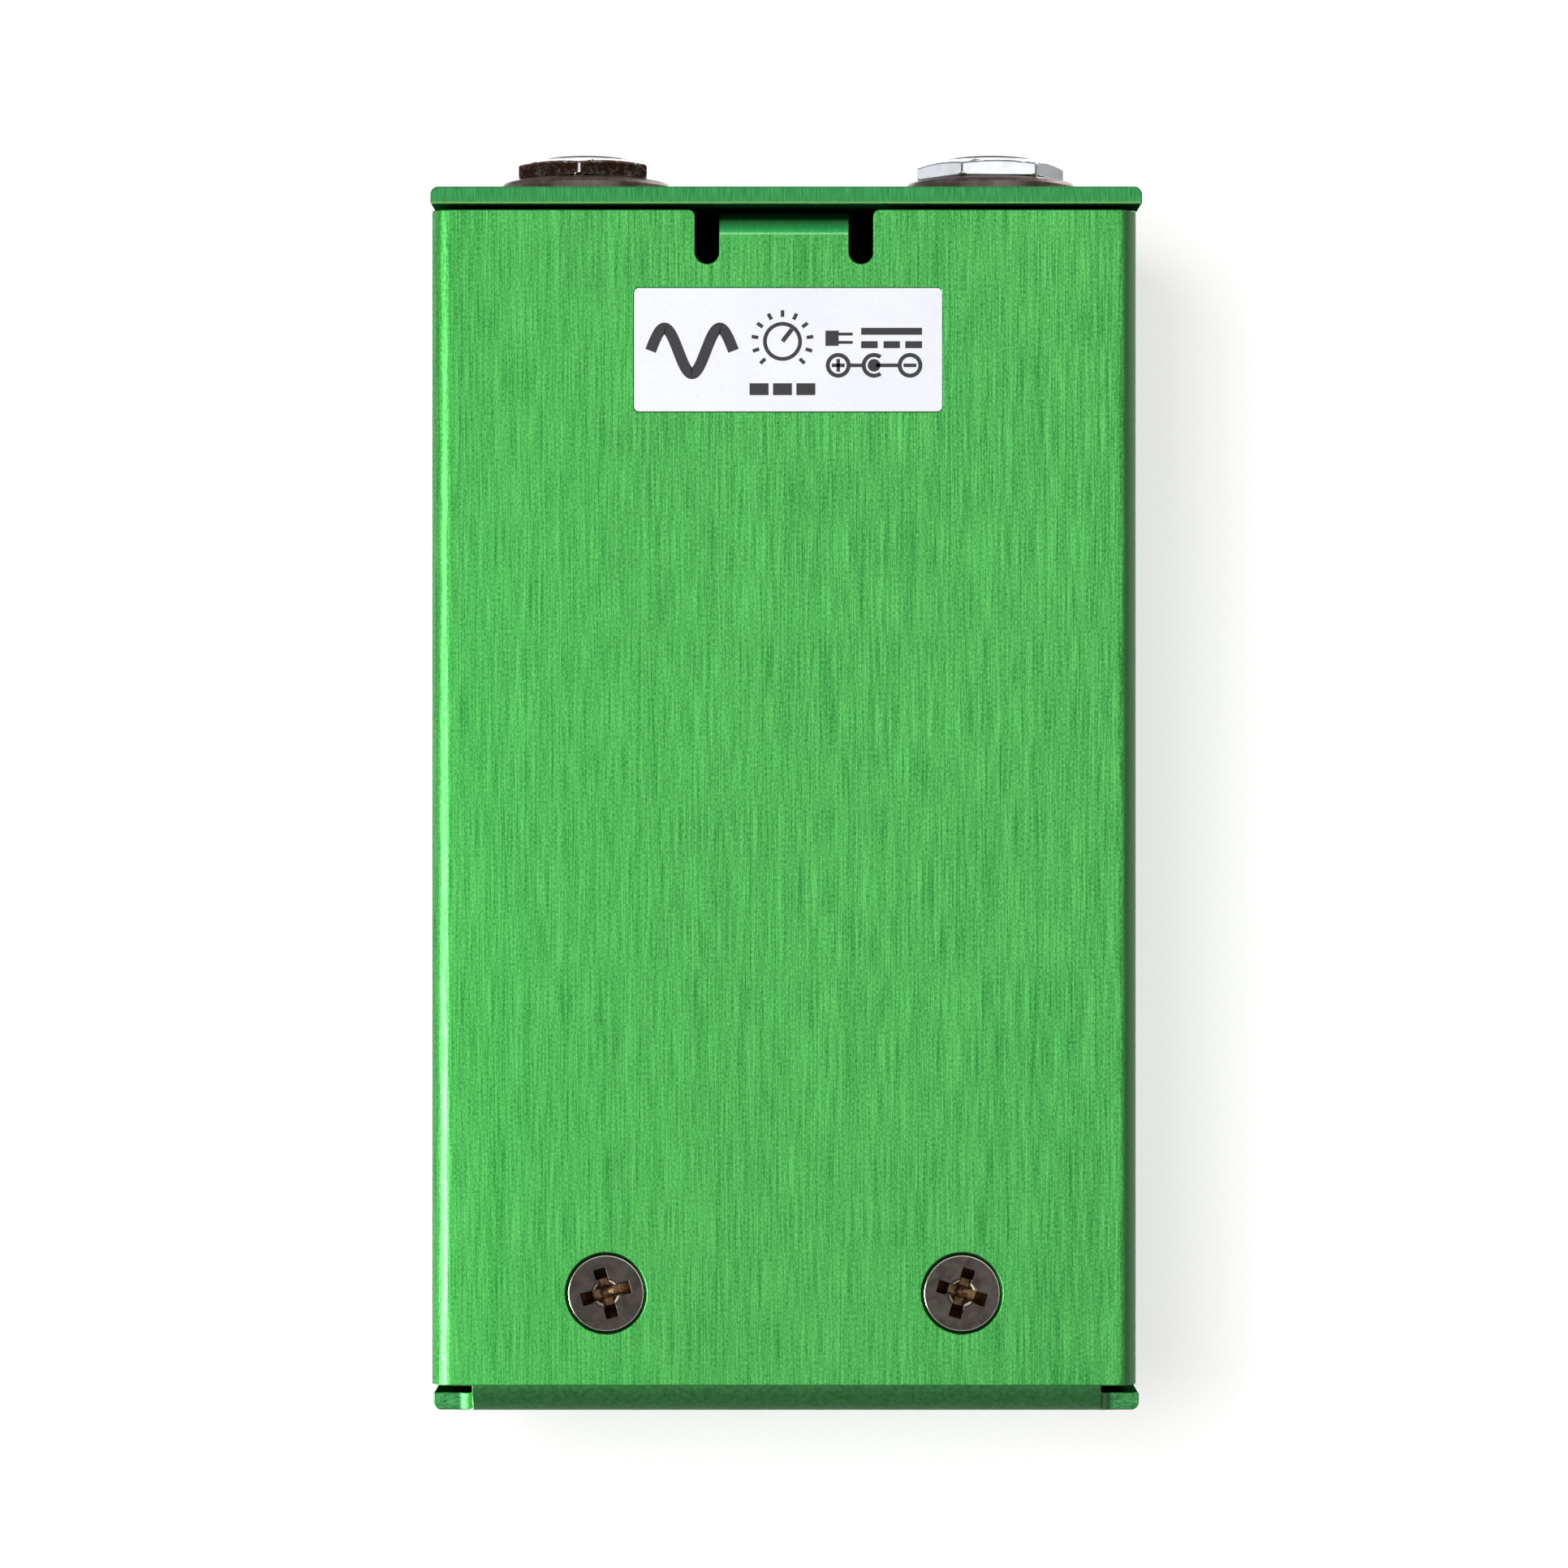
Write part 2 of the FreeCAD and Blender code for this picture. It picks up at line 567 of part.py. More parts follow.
def make_pot_housing(place):
    """Pot can with its threaded bushing, open below for the resistive wafer."""
    x, y = place
    can = block(about(x, POT_HALF_X), about(y, POT_HALF_Y), (BOARD_TOP_Z + POT_WAFER, CEILING_Z))
    bush = rod(POT_BUSH_RADIUS, (x, y, CEILING_Z), (x, y, TOP_Z + POT_BUSH_PROUD))
    bore = rod(POT_SHAFT_RADIUS + RUNNING_GAP, (x, y, BOARD_TOP_Z), (x, y, TOP_Z + 10))
    chamber = rod(ROTOR_RADIUS + 0.3, (x, y, BOARD_TOP_Z), (x, y, ROTOR_Z[1] + 0.3))
    return cut_all(fused([can, bush]), [bore, chamber])


def make_pot_wafer(place):
    """Resistive wafer that closes the bottom of a pot."""
    x, y = place
    return block(about(x, POT_HALF_X), about(y, POT_HALF_Y), (BOARD_TOP_Z, BOARD_TOP_Z + POT_WAFER))


def make_pot_shaft(place):
    """Control shaft with its rotor, free to turn in the bushing."""
    top = SHAFT_TOP_Z
    profile = [(0, ROTOR_Z[0]), (ROTOR_RADIUS, ROTOR_Z[0]), (ROTOR_RADIUS, ROTOR_Z[1])]
    profile.append((POT_SHAFT_RADIUS, ROTOR_Z[1]))
    profile += [(POT_SHAFT_RADIUS, top - 0.4), (POT_SHAFT_RADIUS - 0.4, top), (0, top)]
    return placed(turned(profile), (*place, 0))


def knob_blank():
    """Outer shape of a knob at the origin: a skirt, a fluted leaning grip and a rounded top edge."""
    profile = [(0, KNOB_LOW_Z), (KNOB_RADIUS - 0.3, KNOB_LOW_Z), (KNOB_RADIUS, KNOB_LOW_Z + 0.3)]
    profile += [(KNOB_RADIUS, KNOB_SKIRT_TOP_Z - 0.2), (KNOB_RADIUS - 0.2, KNOB_SKIRT_TOP_Z)]
    profile += quarter_round(KNOB_TOP_RADIUS - KNOB_EDGE, KNOB_TOP_Z - KNOB_EDGE, KNOB_EDGE)
    profile.append((0, KNOB_TOP_Z))
    flutes = []
    for step in range(KNOB_FLUTES):
        angle = math.radians(360 * (step + 0.5) / KNOB_FLUTES)
        spot = Vector(math.cos(angle), math.sin(angle), 0)
        foot = spot * (KNOB_RADIUS + 0.42)
        head = spot * (KNOB_TOP_RADIUS + 0.3)
        flutes.append(rod(0.85, (foot.x, foot.y, KNOB_SKIRT_TOP_Z + 0.5), (head.x, head.y, KNOB_TOP_Z + 2)))
    return cut_all(turned(profile), flutes)


def make_pointer(blank):
    """Pale inlay over a knob's top and down its side, flush with the knob's skin, at the origin."""
    bar = block(about(0, POINTER_WIDTH / 2), (1.6, KNOB_RADIUS + 1), (KNOB_SKIRT_TOP_Z + 0.4, KNOB_TOP_Z + 1))
    under = POINTER_DEPTH
    core = turned([(0, 0), (KNOB_RADIUS - under, 0), (KNOB_RADIUS - under, KNOB_SKIRT_TOP_Z),
                   (KNOB_TOP_RADIUS - under, KNOB_TOP_Z - KNOB_EDGE),
                   (KNOB_TOP_RADIUS - KNOB_EDGE - under, KNOB_TOP_Z - under), (0, KNOB_TOP_Z - under)])
    return blank.common(bar).cut(core)


def make_knob(blank, pointer, place):
    """Moulded knob, hollow over the pot's nut, bored for the shaft and the grub screw."""
    below_z = KNOB_LOW_Z - 1
    tools = [rod(POT_SHAFT_RADIUS, (0, 0, below_z), (0, 0, SHAFT_TOP_Z + 0.05))]
    tools.append(rod(KNOB_HOLLOW_RADIUS, (0, 0, below_z), (0, 0, TOP_Z + POT_BUSH_PROUD + 0.6)))
    tools.append(rod(GRUB_RADIUS, (0, -KNOB_RADIUS - 1, GRUB_Z), (0, 0, GRUB_Z)))
    return placed(cut_all(blank, tools + [pointer]), (*place, 0))


def make_grub_screw(place):
    """Hexagon-socket screw that locks a knob on its shaft."""
    radius = GRUB_RADIUS
    length = GRUB_LENGTH
    blank = turned([(0, 0), (radius - 0.3, 0), (radius, 0.3), (radius, length - 0.2), (radius - 0.2, length),
                    (0, length)])
    socket = placed(hexagon(1.5, 3), (0, 0, length - 1.6))
    return placed(blank.cut(socket), (place[0], place[1] - POT_SHAFT_RADIUS, GRUB_Z), (0, -1, 0))


def make_pot_nuts():
    """Three nuts that clamp the pots to the top."""
    nut = hex_nut(POT_NUT_FLATS, POT_NUT_HEIGHT, POT_BUSH_RADIUS + THREAD_GAP)
    return [placed(nut, (*place, POT_WASHER_TOP_Z), turn=10) for place in POTS.values()]


def make_pot_washers():
    """Three flat washers under the pot nuts."""
    hole = POT_BUSH_RADIUS + 0.1
    return [tube(6.0, hole, (*place, TOP_Z), (*place, POT_WASHER_TOP_Z)) for place in POTS.values()]


def pot_leg_places(place):
    """Centres of the three legs at the front side of a pot."""
    return [(place[0] + step * 2.5, place[1] - POT_HALF_Y - 0.9) for step in (-1, 0, 1)]


def make_pot_terminals():
    """Nine bent legs, three for each pot, from the wafer down through the board."""
    legs = []
    for place in POTS.values():
        for x, y in pot_leg_places(place):
            outline = [(place[1] - POT_HALF_Y, BOARD_TOP_Z + 1.0), (y - 0.25, BOARD_TOP_Z + 1.0),
                       (y - 0.25, BOARD_Z - LEG_OUT)]
            legs.append(folded_sheet(outline, 0.5, 0.1, upright(x - 0.4), (0.8, 0, 0)))
    return legs


# ---- status light ----


def make_led():
    """Lens of the status light with its base rim."""
    low = 30.6
    profile = [(0, low), (2.9, low), (2.9, low + 1.0), (LED_RADIUS, low + 1.0)]
    profile += quarter_round(0, TOP_Z + 1.4, LED_RADIUS, 10)
    return placed(turned(profile), (0, LED_Y, 0))


def make_led_bezel():
    """Chromed ring that holds the status light in the top."""
    hole = LED_RADIUS + 0.05
    profile = [(hole, 31.8), (LED_HOLE_RADIUS - 0.05, 31.8), (LED_HOLE_RADIUS - 0.05, TOP_Z), (4.7, TOP_Z)]
    profile += [(4.7, TOP_Z + 0.35), (4.3, TOP_Z + 0.95), (3.6, TOP_Z + 1.3), (hole + 0.5, TOP_Z + 1.3)]
    profile += [(hole, TOP_Z + 0.8)]
    return placed(turned(profile), (0, LED_Y, 0))


def make_led_leads():
    """Two leads from the status light down through the board."""
    return [block(about(x, 0.25), about(LED_Y, 0.25), (BOARD_Z - LEG_OUT, 30.6)) for x in (-1.27, 1.27)]


# ---- footswitch ----


def make_switch_housing():
    """Moulded switch body with the chamber for the plunger and its spring."""
    body = block(about(0, SWITCH_HALF), about(SWITCH_Y, SWITCH_HALF), (SWITCH_LOW_Z, SWITCH_TOP_Z))
    top_edges = [edge for edge in body.Edges if edge.CenterOfMass.z > SWITCH_TOP_Z - 0.01]
    body = body.makeChamfer(0.5, top_edges)
    return body.cut(rod(CHAMBER_RADIUS, (0, SWITCH_Y, CHAMBER_LOW_Z), (0, SWITCH_Y, SWITCH_TOP_Z + 1)))


def make_switch_cradle():
    """Folded steel frame over the switch body."""
    half = SWITCH_HALF + CRADLE_GAP + CRADLE_SHEET
    top = SWITCH_TOP_Z + CRADLE_SHEET
    outline = [(half, SWITCH_LOW_Z + 1), (half, top), (-half, top), (-half, SWITCH_LOW_Z + 1)]
    cradle = folded_sheet(outline, CRADLE_SHEET, 0.3, crosswise(SWITCH_Y - 6.5), (0, 13, 0))
    return cradle.cut(rod(SWITCH_BUSH_RADIUS, (0, SWITCH_Y, SWITCH_TOP_Z - 1), (0, SWITCH_Y, top + 1)))


def make_switch_bushing():
    """Threaded bushing that guides the plunger through the top."""
    bore = PLUNGER_RADIUS + RUNNING_GAP
    rim_z = SWITCH_TOP_Z + CRADLE_SHEET
    radius = SWITCH_BUSH_RADIUS
    profile = [(bore, SWITCH_TOP_Z), (radius, SWITCH_TOP_Z), (radius, rim_z)]
    profile += [(7.3, rim_z), (7.3, rim_z + 0.7)]
    profile.append((radius, rim_z + 0.7))
    profile += thread_profile(radius, DRESS_NUT_TOP_Z - 0.3, SWITCH_BUSH_TOP_Z - 0.4, SWITCH_THREAD_PITCH)
    profile += [(radius - 0.4, SWITCH_BUSH_TOP_Z), (bore + 0.3, SWITCH_BUSH_TOP_Z)]
    profile.append((bore, SWITCH_BUSH_TOP_Z - 0.3))
    return placed(turned(profile), (0, SWITCH_Y, 0))


def make_plunger():
    """Foot-operated plunger: a domed button, a stop rim and the stem inside the spring."""
    rim_low = PLUNGER_STOP_Z - PLUNGER_RIM
    profile = [(0, 19.0), (3.0, 19.0), (3.0, rim_low), (6.4, rim_low), (6.4, PLUNGER_STOP_Z)]
    profile.append((PLUNGER_RADIUS, PLUNGER_STOP_Z))
    profile += quarter_round(PLUNGER_RADIUS - 1.6, PLUNGER_TOP_Z - 1.9, 1.6)
    profile += [(1.8, PLUNGER_TOP_Z - 0.08), (0, PLUNGER_TOP_Z)]
    return placed(turned(profile), (0, SWITCH_Y, 0))


def make_switch_spring():
    """Coil spring that lifts the plunger: short straight runs of wire, mitred where they meet."""
    low = CHAMBER_LOW_Z + SPRING_WIRE + 0.05
    high = PLUNGER_STOP_Z - PLUNGER_RIM - SPRING_WIRE - 0.05
    runs = SPRING_RUNS * SPRING_TURNS
    spots = []
    for run in range(runs + 1):
        angle = 2 * math.pi * run / SPRING_RUNS
        height = low + (high - low) * run / runs
        spots.append(Vector(SPRING_RADIUS * math.cos(angle), SPRING_RADIUS * math.sin(angle), height))
    section = Part.Circle(spots[0], spots[1] - spots[0], SPRING_WIRE).toShape()
    sweep = Part.BRepOffsetAPI.MakePipeShell(Part.makePolygon(spots))
    sweep.setTransitionMode(MITRED)
    sweep.add(Part.Wire(section))
    sweep.build()
    sweep.makeSolid()
    return placed(sweep.shape(), (0, SWITCH_Y, 0))


def make_dress_washer():
    """Wide washer between the top and the footswitch nut."""
    hole = SWITCH_BUSH_RADIUS + 0.1
    top = DRESS_WASHER_HEIGHT
    profile = [(hole, 0), (9.2, 0), (9.2, top - 0.6), (8.8, top - 0.15), (8.2, top), (hole, top)]
    return placed(turned(profile), (0, SWITCH_Y, TOP_Z))


def make_dress_nut():
    """Outer nut of the footswitch."""
    nut = hex_nut(DRESS_NUT_FLATS, DRESS_NUT_HEIGHT, SWITCH_BUSH_RADIUS + THREAD_GAP, 0.4)
    return placed(nut, (0, SWITCH_Y, TOP_Z + DRESS_WASHER_HEIGHT), turn=17)


def make_lock_nut():
    """Inner nut that sets how far the footswitch stands out."""
    nut = hex_nut(LOCK_NUT_FLATS, LOCK_NUT_HEIGHT, SWITCH_BUSH_RADIUS + THREAD_GAP)
    return placed(nut, (0, SWITCH_Y, CEILING_Z - LOCK_WASHER_HEIGHT - LOCK_NUT_HEIGHT), turn=5)


def make_lock_washer():
    """Toothed washer between the inner nut and the top."""
    radius = LOCK_WASHER_RADIUS
    low_z = CEILING_Z - LOCK_WASHER_HEIGHT
    washer = tube(radius, SWITCH_BUSH_RADIUS + 0.1, (0, SWITCH_Y, low_z), (0, SWITCH_Y, CEILING_Z))
    gaps = []
    for step in range(LOCK_WASHER_TEETH):
        angle = 2 * math.pi * step / LOCK_WASHER_TEETH
        spot = (radius * math.cos(angle), SWITCH_Y + radius * math.sin(angle))
        gaps.append(rod(0.7, (*spot, low_z - 1), (*spot, CEILING_Z + 1)))
    return cut_all(washer, gaps)


def make_switch_terminals():
    """Nine solder lugs under the switch body."""
    return [block(about(x, 1.0), about(y, 0.3), (SWITCH_BOARD_Z - 1.0, SWITCH_LOW_Z)) for x, y in SWITCH_LUGS]


# ---- circuit ----


def make_main_board():
    """Main circuit board under the top, drilled for the legs that pass through it."""
    board = block(about(0, BOARD_X), BOARD_Y, (BOARD_Z, BOARD_TOP_Z))
    holes = []
    for x in JACK_X.values():
        holes += [(x, TIP_POCKET_Y[0] + 0.7, 1.1), (x, SLEEVE_POCKET_Y[0] + 0.7, 1.1)]
    holes += [(0, DC_BACK_Y - 0.35, 1.1), (0, DC_BACK_Y + 3.8, 1.1)]
    holes += [(-1.27, LED_Y, 0.45), (1.27, LED_Y, 0.45)]
    holes += [(x, y, 0.6) for place in POTS.values() for x, y in pot_leg_places(place)]
    tools = [rod(radius, (x, y, BOARD_Z - 1), (x, y, BOARD_TOP_Z + 1)) for x, y, radius in holes]
    return cut_all(board, tools)


def make_switch_board():
    """Small board soldered on the footswitch lugs."""
    board = block(about(0, SWITCH_BOARD_HALF), about(SWITCH_Y, SWITCH_BOARD_HALF),
                  (SWITCH_BOARD_Z, SWITCH_BOARD_TOP_Z))
    through = (SWITCH_BOARD_Z - 1, SWITCH_BOARD_TOP_Z + 1)
    slots = [block(about(x, 1.1), about(y, 0.4), through) for x, y in SWITCH_LUGS]
    return cut_all(board, slots)


def make_ribbon():
    """Flat cable between the two boards, soldered at both ends."""
    outline = [(RIBBON_REAR_Y, BOARD_Z), (RIBBON_REAR_Y, RIBBON_RUN_Z), (RIBBON_FRONT_Y, RIBBON_RUN_Z),
               (RIBBON_FRONT_Y, SWITCH_BOARD_TOP_Z)]
    return folded_sheet(outline, 0.9, 2.0, upright(-RIBBON_HALF), (2 * RIBBON_HALF, 0, 0))


def make_chips():
    """Two eight-legged amplifier chips under the main board."""
    chips = []
    for x, y in CHIP_PLACES:
        body = block(about(x, 3.2), about(y, 4.8), (BOARD_Z - 4.0, BOARD_Z - 0.6))
        leg_z = (BOARD_Z - 2.4, BOARD_Z)
        legs = [block(about(x + side * 3.5, 0.3), about(y + (row - 1.5) * 2.54, 0.25), leg_z)
                for side in (-1, 1) for row in range(4)]
        chips.append(fused([body] + legs))
    return chips


def make_electrolytics():
    """Four can capacitors under the main board."""
    can = turned([(0, 0), (2.3, 0), (2.5, 0.3), (2.5, 5.4), (2.35, 5.7), (2.5, 6.0), (2.5, 6.6), (0, 6.6)])
    return [placed(can, (x, y, BOARD_Z - 6.6)) for x, y in CAN_PLACES]


def make_film_capacitors():
    """Five box capacitors under the main board."""
    return [rounded_plate((7.2, 2.6), place, 0.4, (BOARD_Z - 6.0, BOARD_Z)) for place in FILM_PLACES]


def make_resistors():
    """Ten small resistors standing across short lead pairs on top of the main board."""
    profile = [(0, 0), (0.8, 0.2), (0.95, 0.5), (0.8, 0.9), (0.75, 2.5), (0.95, 2.9), (0.8, 3.2), (0, 3.4)]
    bead = turned(profile)
    pieces = []
    places = [(x + RESISTOR_STEP * step, y) for x, y, count in RESISTOR_ROWS for step in range(count)]
    lead_z = BOARD_TOP_Z + 1.2
    for x, y in places:
        ends = [y - 2.6, y + 2.6]
        lead = rod(0.25, (x, ends[0], lead_z), (x, ends[1], lead_z))
        legs = [rod(0.25, (x, end, BOARD_TOP_Z), (x, end, lead_z)) for end in ends]
        body = placed(bead, (x, y - 1.7, lead_z), (0, 1, 0))
        pieces.append(fused([body, lead] + legs))
    return pieces


def make_transistors():
    """Two three-legged transistors under the main board."""
    pieces = []
    for x, y in TRANSISTOR_PLACES:
        low = BOARD_Z - 6.2
        flat = block(about(x, 3), (y + 1.2, y + 4), (low - 1, low + 6))
        body = rod(2.3, (x, y, low), (x, y, low + 4.4)).cut(flat)
        leg_z = (low + 4.0, BOARD_Z)
        legs = [block(about(x + step * 1.27, 0.22), about(y, 0.22), leg_z) for step in (-1, 0, 1)]
        pieces.append(fused([body] + legs))
    return pieces


def sub_parts():
    """Every node's name with its solid, or its group of separate solids."""
    yield "cover", make_cover()
    yield "base_plate", make_base()
    yield "cover_screws", make_cover_screws()
    yield "clinch_nuts", make_clinch_nuts()
    yield "spec_label", make_label()
    for name, x in JACK_X.items():
        yield f"{name}_jack_housing", make_jack_housing(x)
        yield f"{name}_jack_tip_contact", make_leaf(x, TIP_POCKET_Y, BOARD_TOP_Z - 0.3)
        yield f"{name}_jack_sleeve_contact", make_leaf(x, SLEEVE_POCKET_Y, LEG_TOP_Z)
    yield "jack_washers", make_jack_washers()
    yield "jack_nuts", make_jack_nuts()
    yield "dc_jack_housing", make_dc_housing()
    yield "dc_jack_pin", make_dc_pin()
    yield "dc_jack_contact", make_dc_contact()
    blank = knob_blank()
    pointer = make_pointer(blank)
    for name, place in POTS.items():
        yield f"{name}_pot_housing", make_pot_housing(place)
        yield f"{name}_pot_wafer", make_pot_wafer(place)
        yield f"{name}_pot_shaft", make_pot_shaft(place)
        yield f"{name}_knob", make_knob(blank, pointer, place)
        yield f"{name}_knob_pointer", placed(pointer, (*place, 0))
        yield f"{name}_knob_grub_screw", make_grub_screw(place)
    yield "pot_washers", make_pot_washers()
    yield "pot_nuts", make_pot_nuts()
    yield "pot_terminals", make_pot_terminals()
    yield "status_led", make_led()
    yield "led_bezel", make_led_bezel()
    yield "led_leads", make_led_leads()
    yield "footswitch_housing", make_switch_housing()
    yield "footswitch_cradle", make_switch_cradle()
    yield "footswitch_bushing", make_switch_bushing()
    yield "footswitch_plunger", make_plunger()
    yield "footswitch_spring", make_switch_spring()
    yield "footswitch_dress_washer", make_dress_washer()
    yield "footswitch_dress_nut", make_dress_nut()
    yield "footswitch_lock_nut", make_lock_nut()
    yield "footswitch_lock_washer", make_lock_washer()
    yield "footswitch_terminals", make_switch_terminals()
    yield "footswitch_board", make_switch_board()
    yield "main_board", make_main_board()
    yield "ribbon_cable", make_ribbon()
    yield "op_amp_chips", make_chips()
    yield "electrolytic_capacitors", make_electrolytics()
    yield "film_capacitors", make_film_capacitors()
    yield "resistors", make_resistors()
    yield "transistors", make_transistors()


os.makedirs("parts", exist_ok=True)
for node, pieces in sub_parts():
    shape = Part.makeCompound(pieces) if isinstance(pieces, list) else pieces
    wanted = len(pieces) if isinstance(pieces, list) else 1
    if len(shape.Solids) != wanted or not shape.isValid():
        raise SystemExit(f"{node}: {len(shape.Solids)} solids, wanted {wanted}, valid {shape.isValid()}")
    shape.exportStep(f"parts/{node}.step")
    print(f"{node}: {len(shape.Solids)} solid(s), {shape.Volume:.2f} mm3")
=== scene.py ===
import math

import bmesh
import bpy
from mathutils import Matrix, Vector


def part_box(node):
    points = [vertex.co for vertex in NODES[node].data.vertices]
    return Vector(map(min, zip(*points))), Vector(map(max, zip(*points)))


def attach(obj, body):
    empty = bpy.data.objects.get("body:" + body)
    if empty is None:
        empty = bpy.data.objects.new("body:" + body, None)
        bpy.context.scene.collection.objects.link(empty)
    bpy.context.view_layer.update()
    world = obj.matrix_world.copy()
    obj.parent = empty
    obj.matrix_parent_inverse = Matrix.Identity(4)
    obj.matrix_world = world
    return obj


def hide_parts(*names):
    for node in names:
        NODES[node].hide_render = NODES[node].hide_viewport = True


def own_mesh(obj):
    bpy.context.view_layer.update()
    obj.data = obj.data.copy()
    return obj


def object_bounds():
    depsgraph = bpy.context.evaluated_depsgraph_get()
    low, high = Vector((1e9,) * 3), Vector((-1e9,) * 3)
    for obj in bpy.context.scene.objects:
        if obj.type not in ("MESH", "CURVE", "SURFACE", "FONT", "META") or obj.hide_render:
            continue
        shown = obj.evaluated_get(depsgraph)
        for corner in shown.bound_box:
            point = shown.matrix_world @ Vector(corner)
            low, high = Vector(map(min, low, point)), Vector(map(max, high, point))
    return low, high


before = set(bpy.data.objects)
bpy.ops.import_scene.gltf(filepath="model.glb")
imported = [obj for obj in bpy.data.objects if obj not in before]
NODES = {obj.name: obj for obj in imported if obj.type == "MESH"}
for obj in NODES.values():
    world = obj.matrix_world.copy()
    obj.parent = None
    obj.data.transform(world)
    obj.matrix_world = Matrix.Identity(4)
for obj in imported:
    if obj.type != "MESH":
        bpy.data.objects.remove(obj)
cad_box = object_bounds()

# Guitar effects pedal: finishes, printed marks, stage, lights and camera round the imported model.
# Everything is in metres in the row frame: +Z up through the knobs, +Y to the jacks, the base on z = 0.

MM = 0.001

# ---- camera and stage ----
CAMERA_DISTANCE = 0.520
CAMERA_RISE = 0.00153
VIEW_WIDTH = 0.1409
SENSOR = 36.0
FLOOR_GAP = 0.0002
STAGE_HALF = 6.0
LIGHT_AIM = (0, 0, 0.018)

# ---- printed marks ----
PRINT_DEPTH = 0.012 * MM
PRINT_ROOT = 0.004 * MM

# ---- places on the sheets that their finish and its painted highlights and shade follow; a pair is the start and the end of a soft edge ----
SCREW_X = 16.0 * MM
SCREW_Y = -44.25 * MM
SCREW_RIM = (3.30 * MM, 3.36 * MM)
SINK_RIM = (3.70 * MM, 3.74 * MM)
PIT_RIM = ((0.95 * MM, 1.05 * MM), (1.45 * MM, 1.50 * MM))
RECESS_DEPTH = (0.15 * MM, 0.40 * MM)
PIT_DEPTH = (0.50 * MM, 0.70 * MM)
RING_PITCH = 0.21 * MM
REAR_EDGE = (53.3 * MM, 53.4 * MM)
REAR_LIP = ((53.72 * MM, 53.76 * MM), (53.84 * MM, 53.90 * MM))
TAB_SIDE = (6.2 * MM, 6.3 * MM)
TAB_TOP = (2.2 * MM, 2.4 * MM)
TAB_CREASE = ((50.86 * MM, 50.98 * MM), (51.04 * MM, 51.12 * MM))
TAB_CURVE = ((51.06 * MM, 51.16 * MM), (53.2 * MM, 53.3 * MM))
TAB_SHADE = (51.7 * MM, 52.4 * MM)
FRONT_EDGE = (-53.3 * MM, -53.2 * MM)
NOTCH_FLOOR = (4.9 * MM, 5.0 * MM)
FOLD_TOP = (5.3 * MM, 5.6 * MM)
MID_X = (-1.0 * MM, 1.0 * MM)
CORE_PITCH = 1.14 * MM
FIRST_CORE = (-4.6 * MM, -4.5 * MM)


# ------------------------------------------------------------------ materials

def srgb(red, green, blue):
    """Linear colour, with alpha, from display values out of 255."""
    values = []
    for part in (red, green, blue):
        share = part / 255
        values.append(share / 12.92 if share <= 0.04045 else ((share + 0.055) / 1.055) ** 2.4)
    return (*values, 1.0)


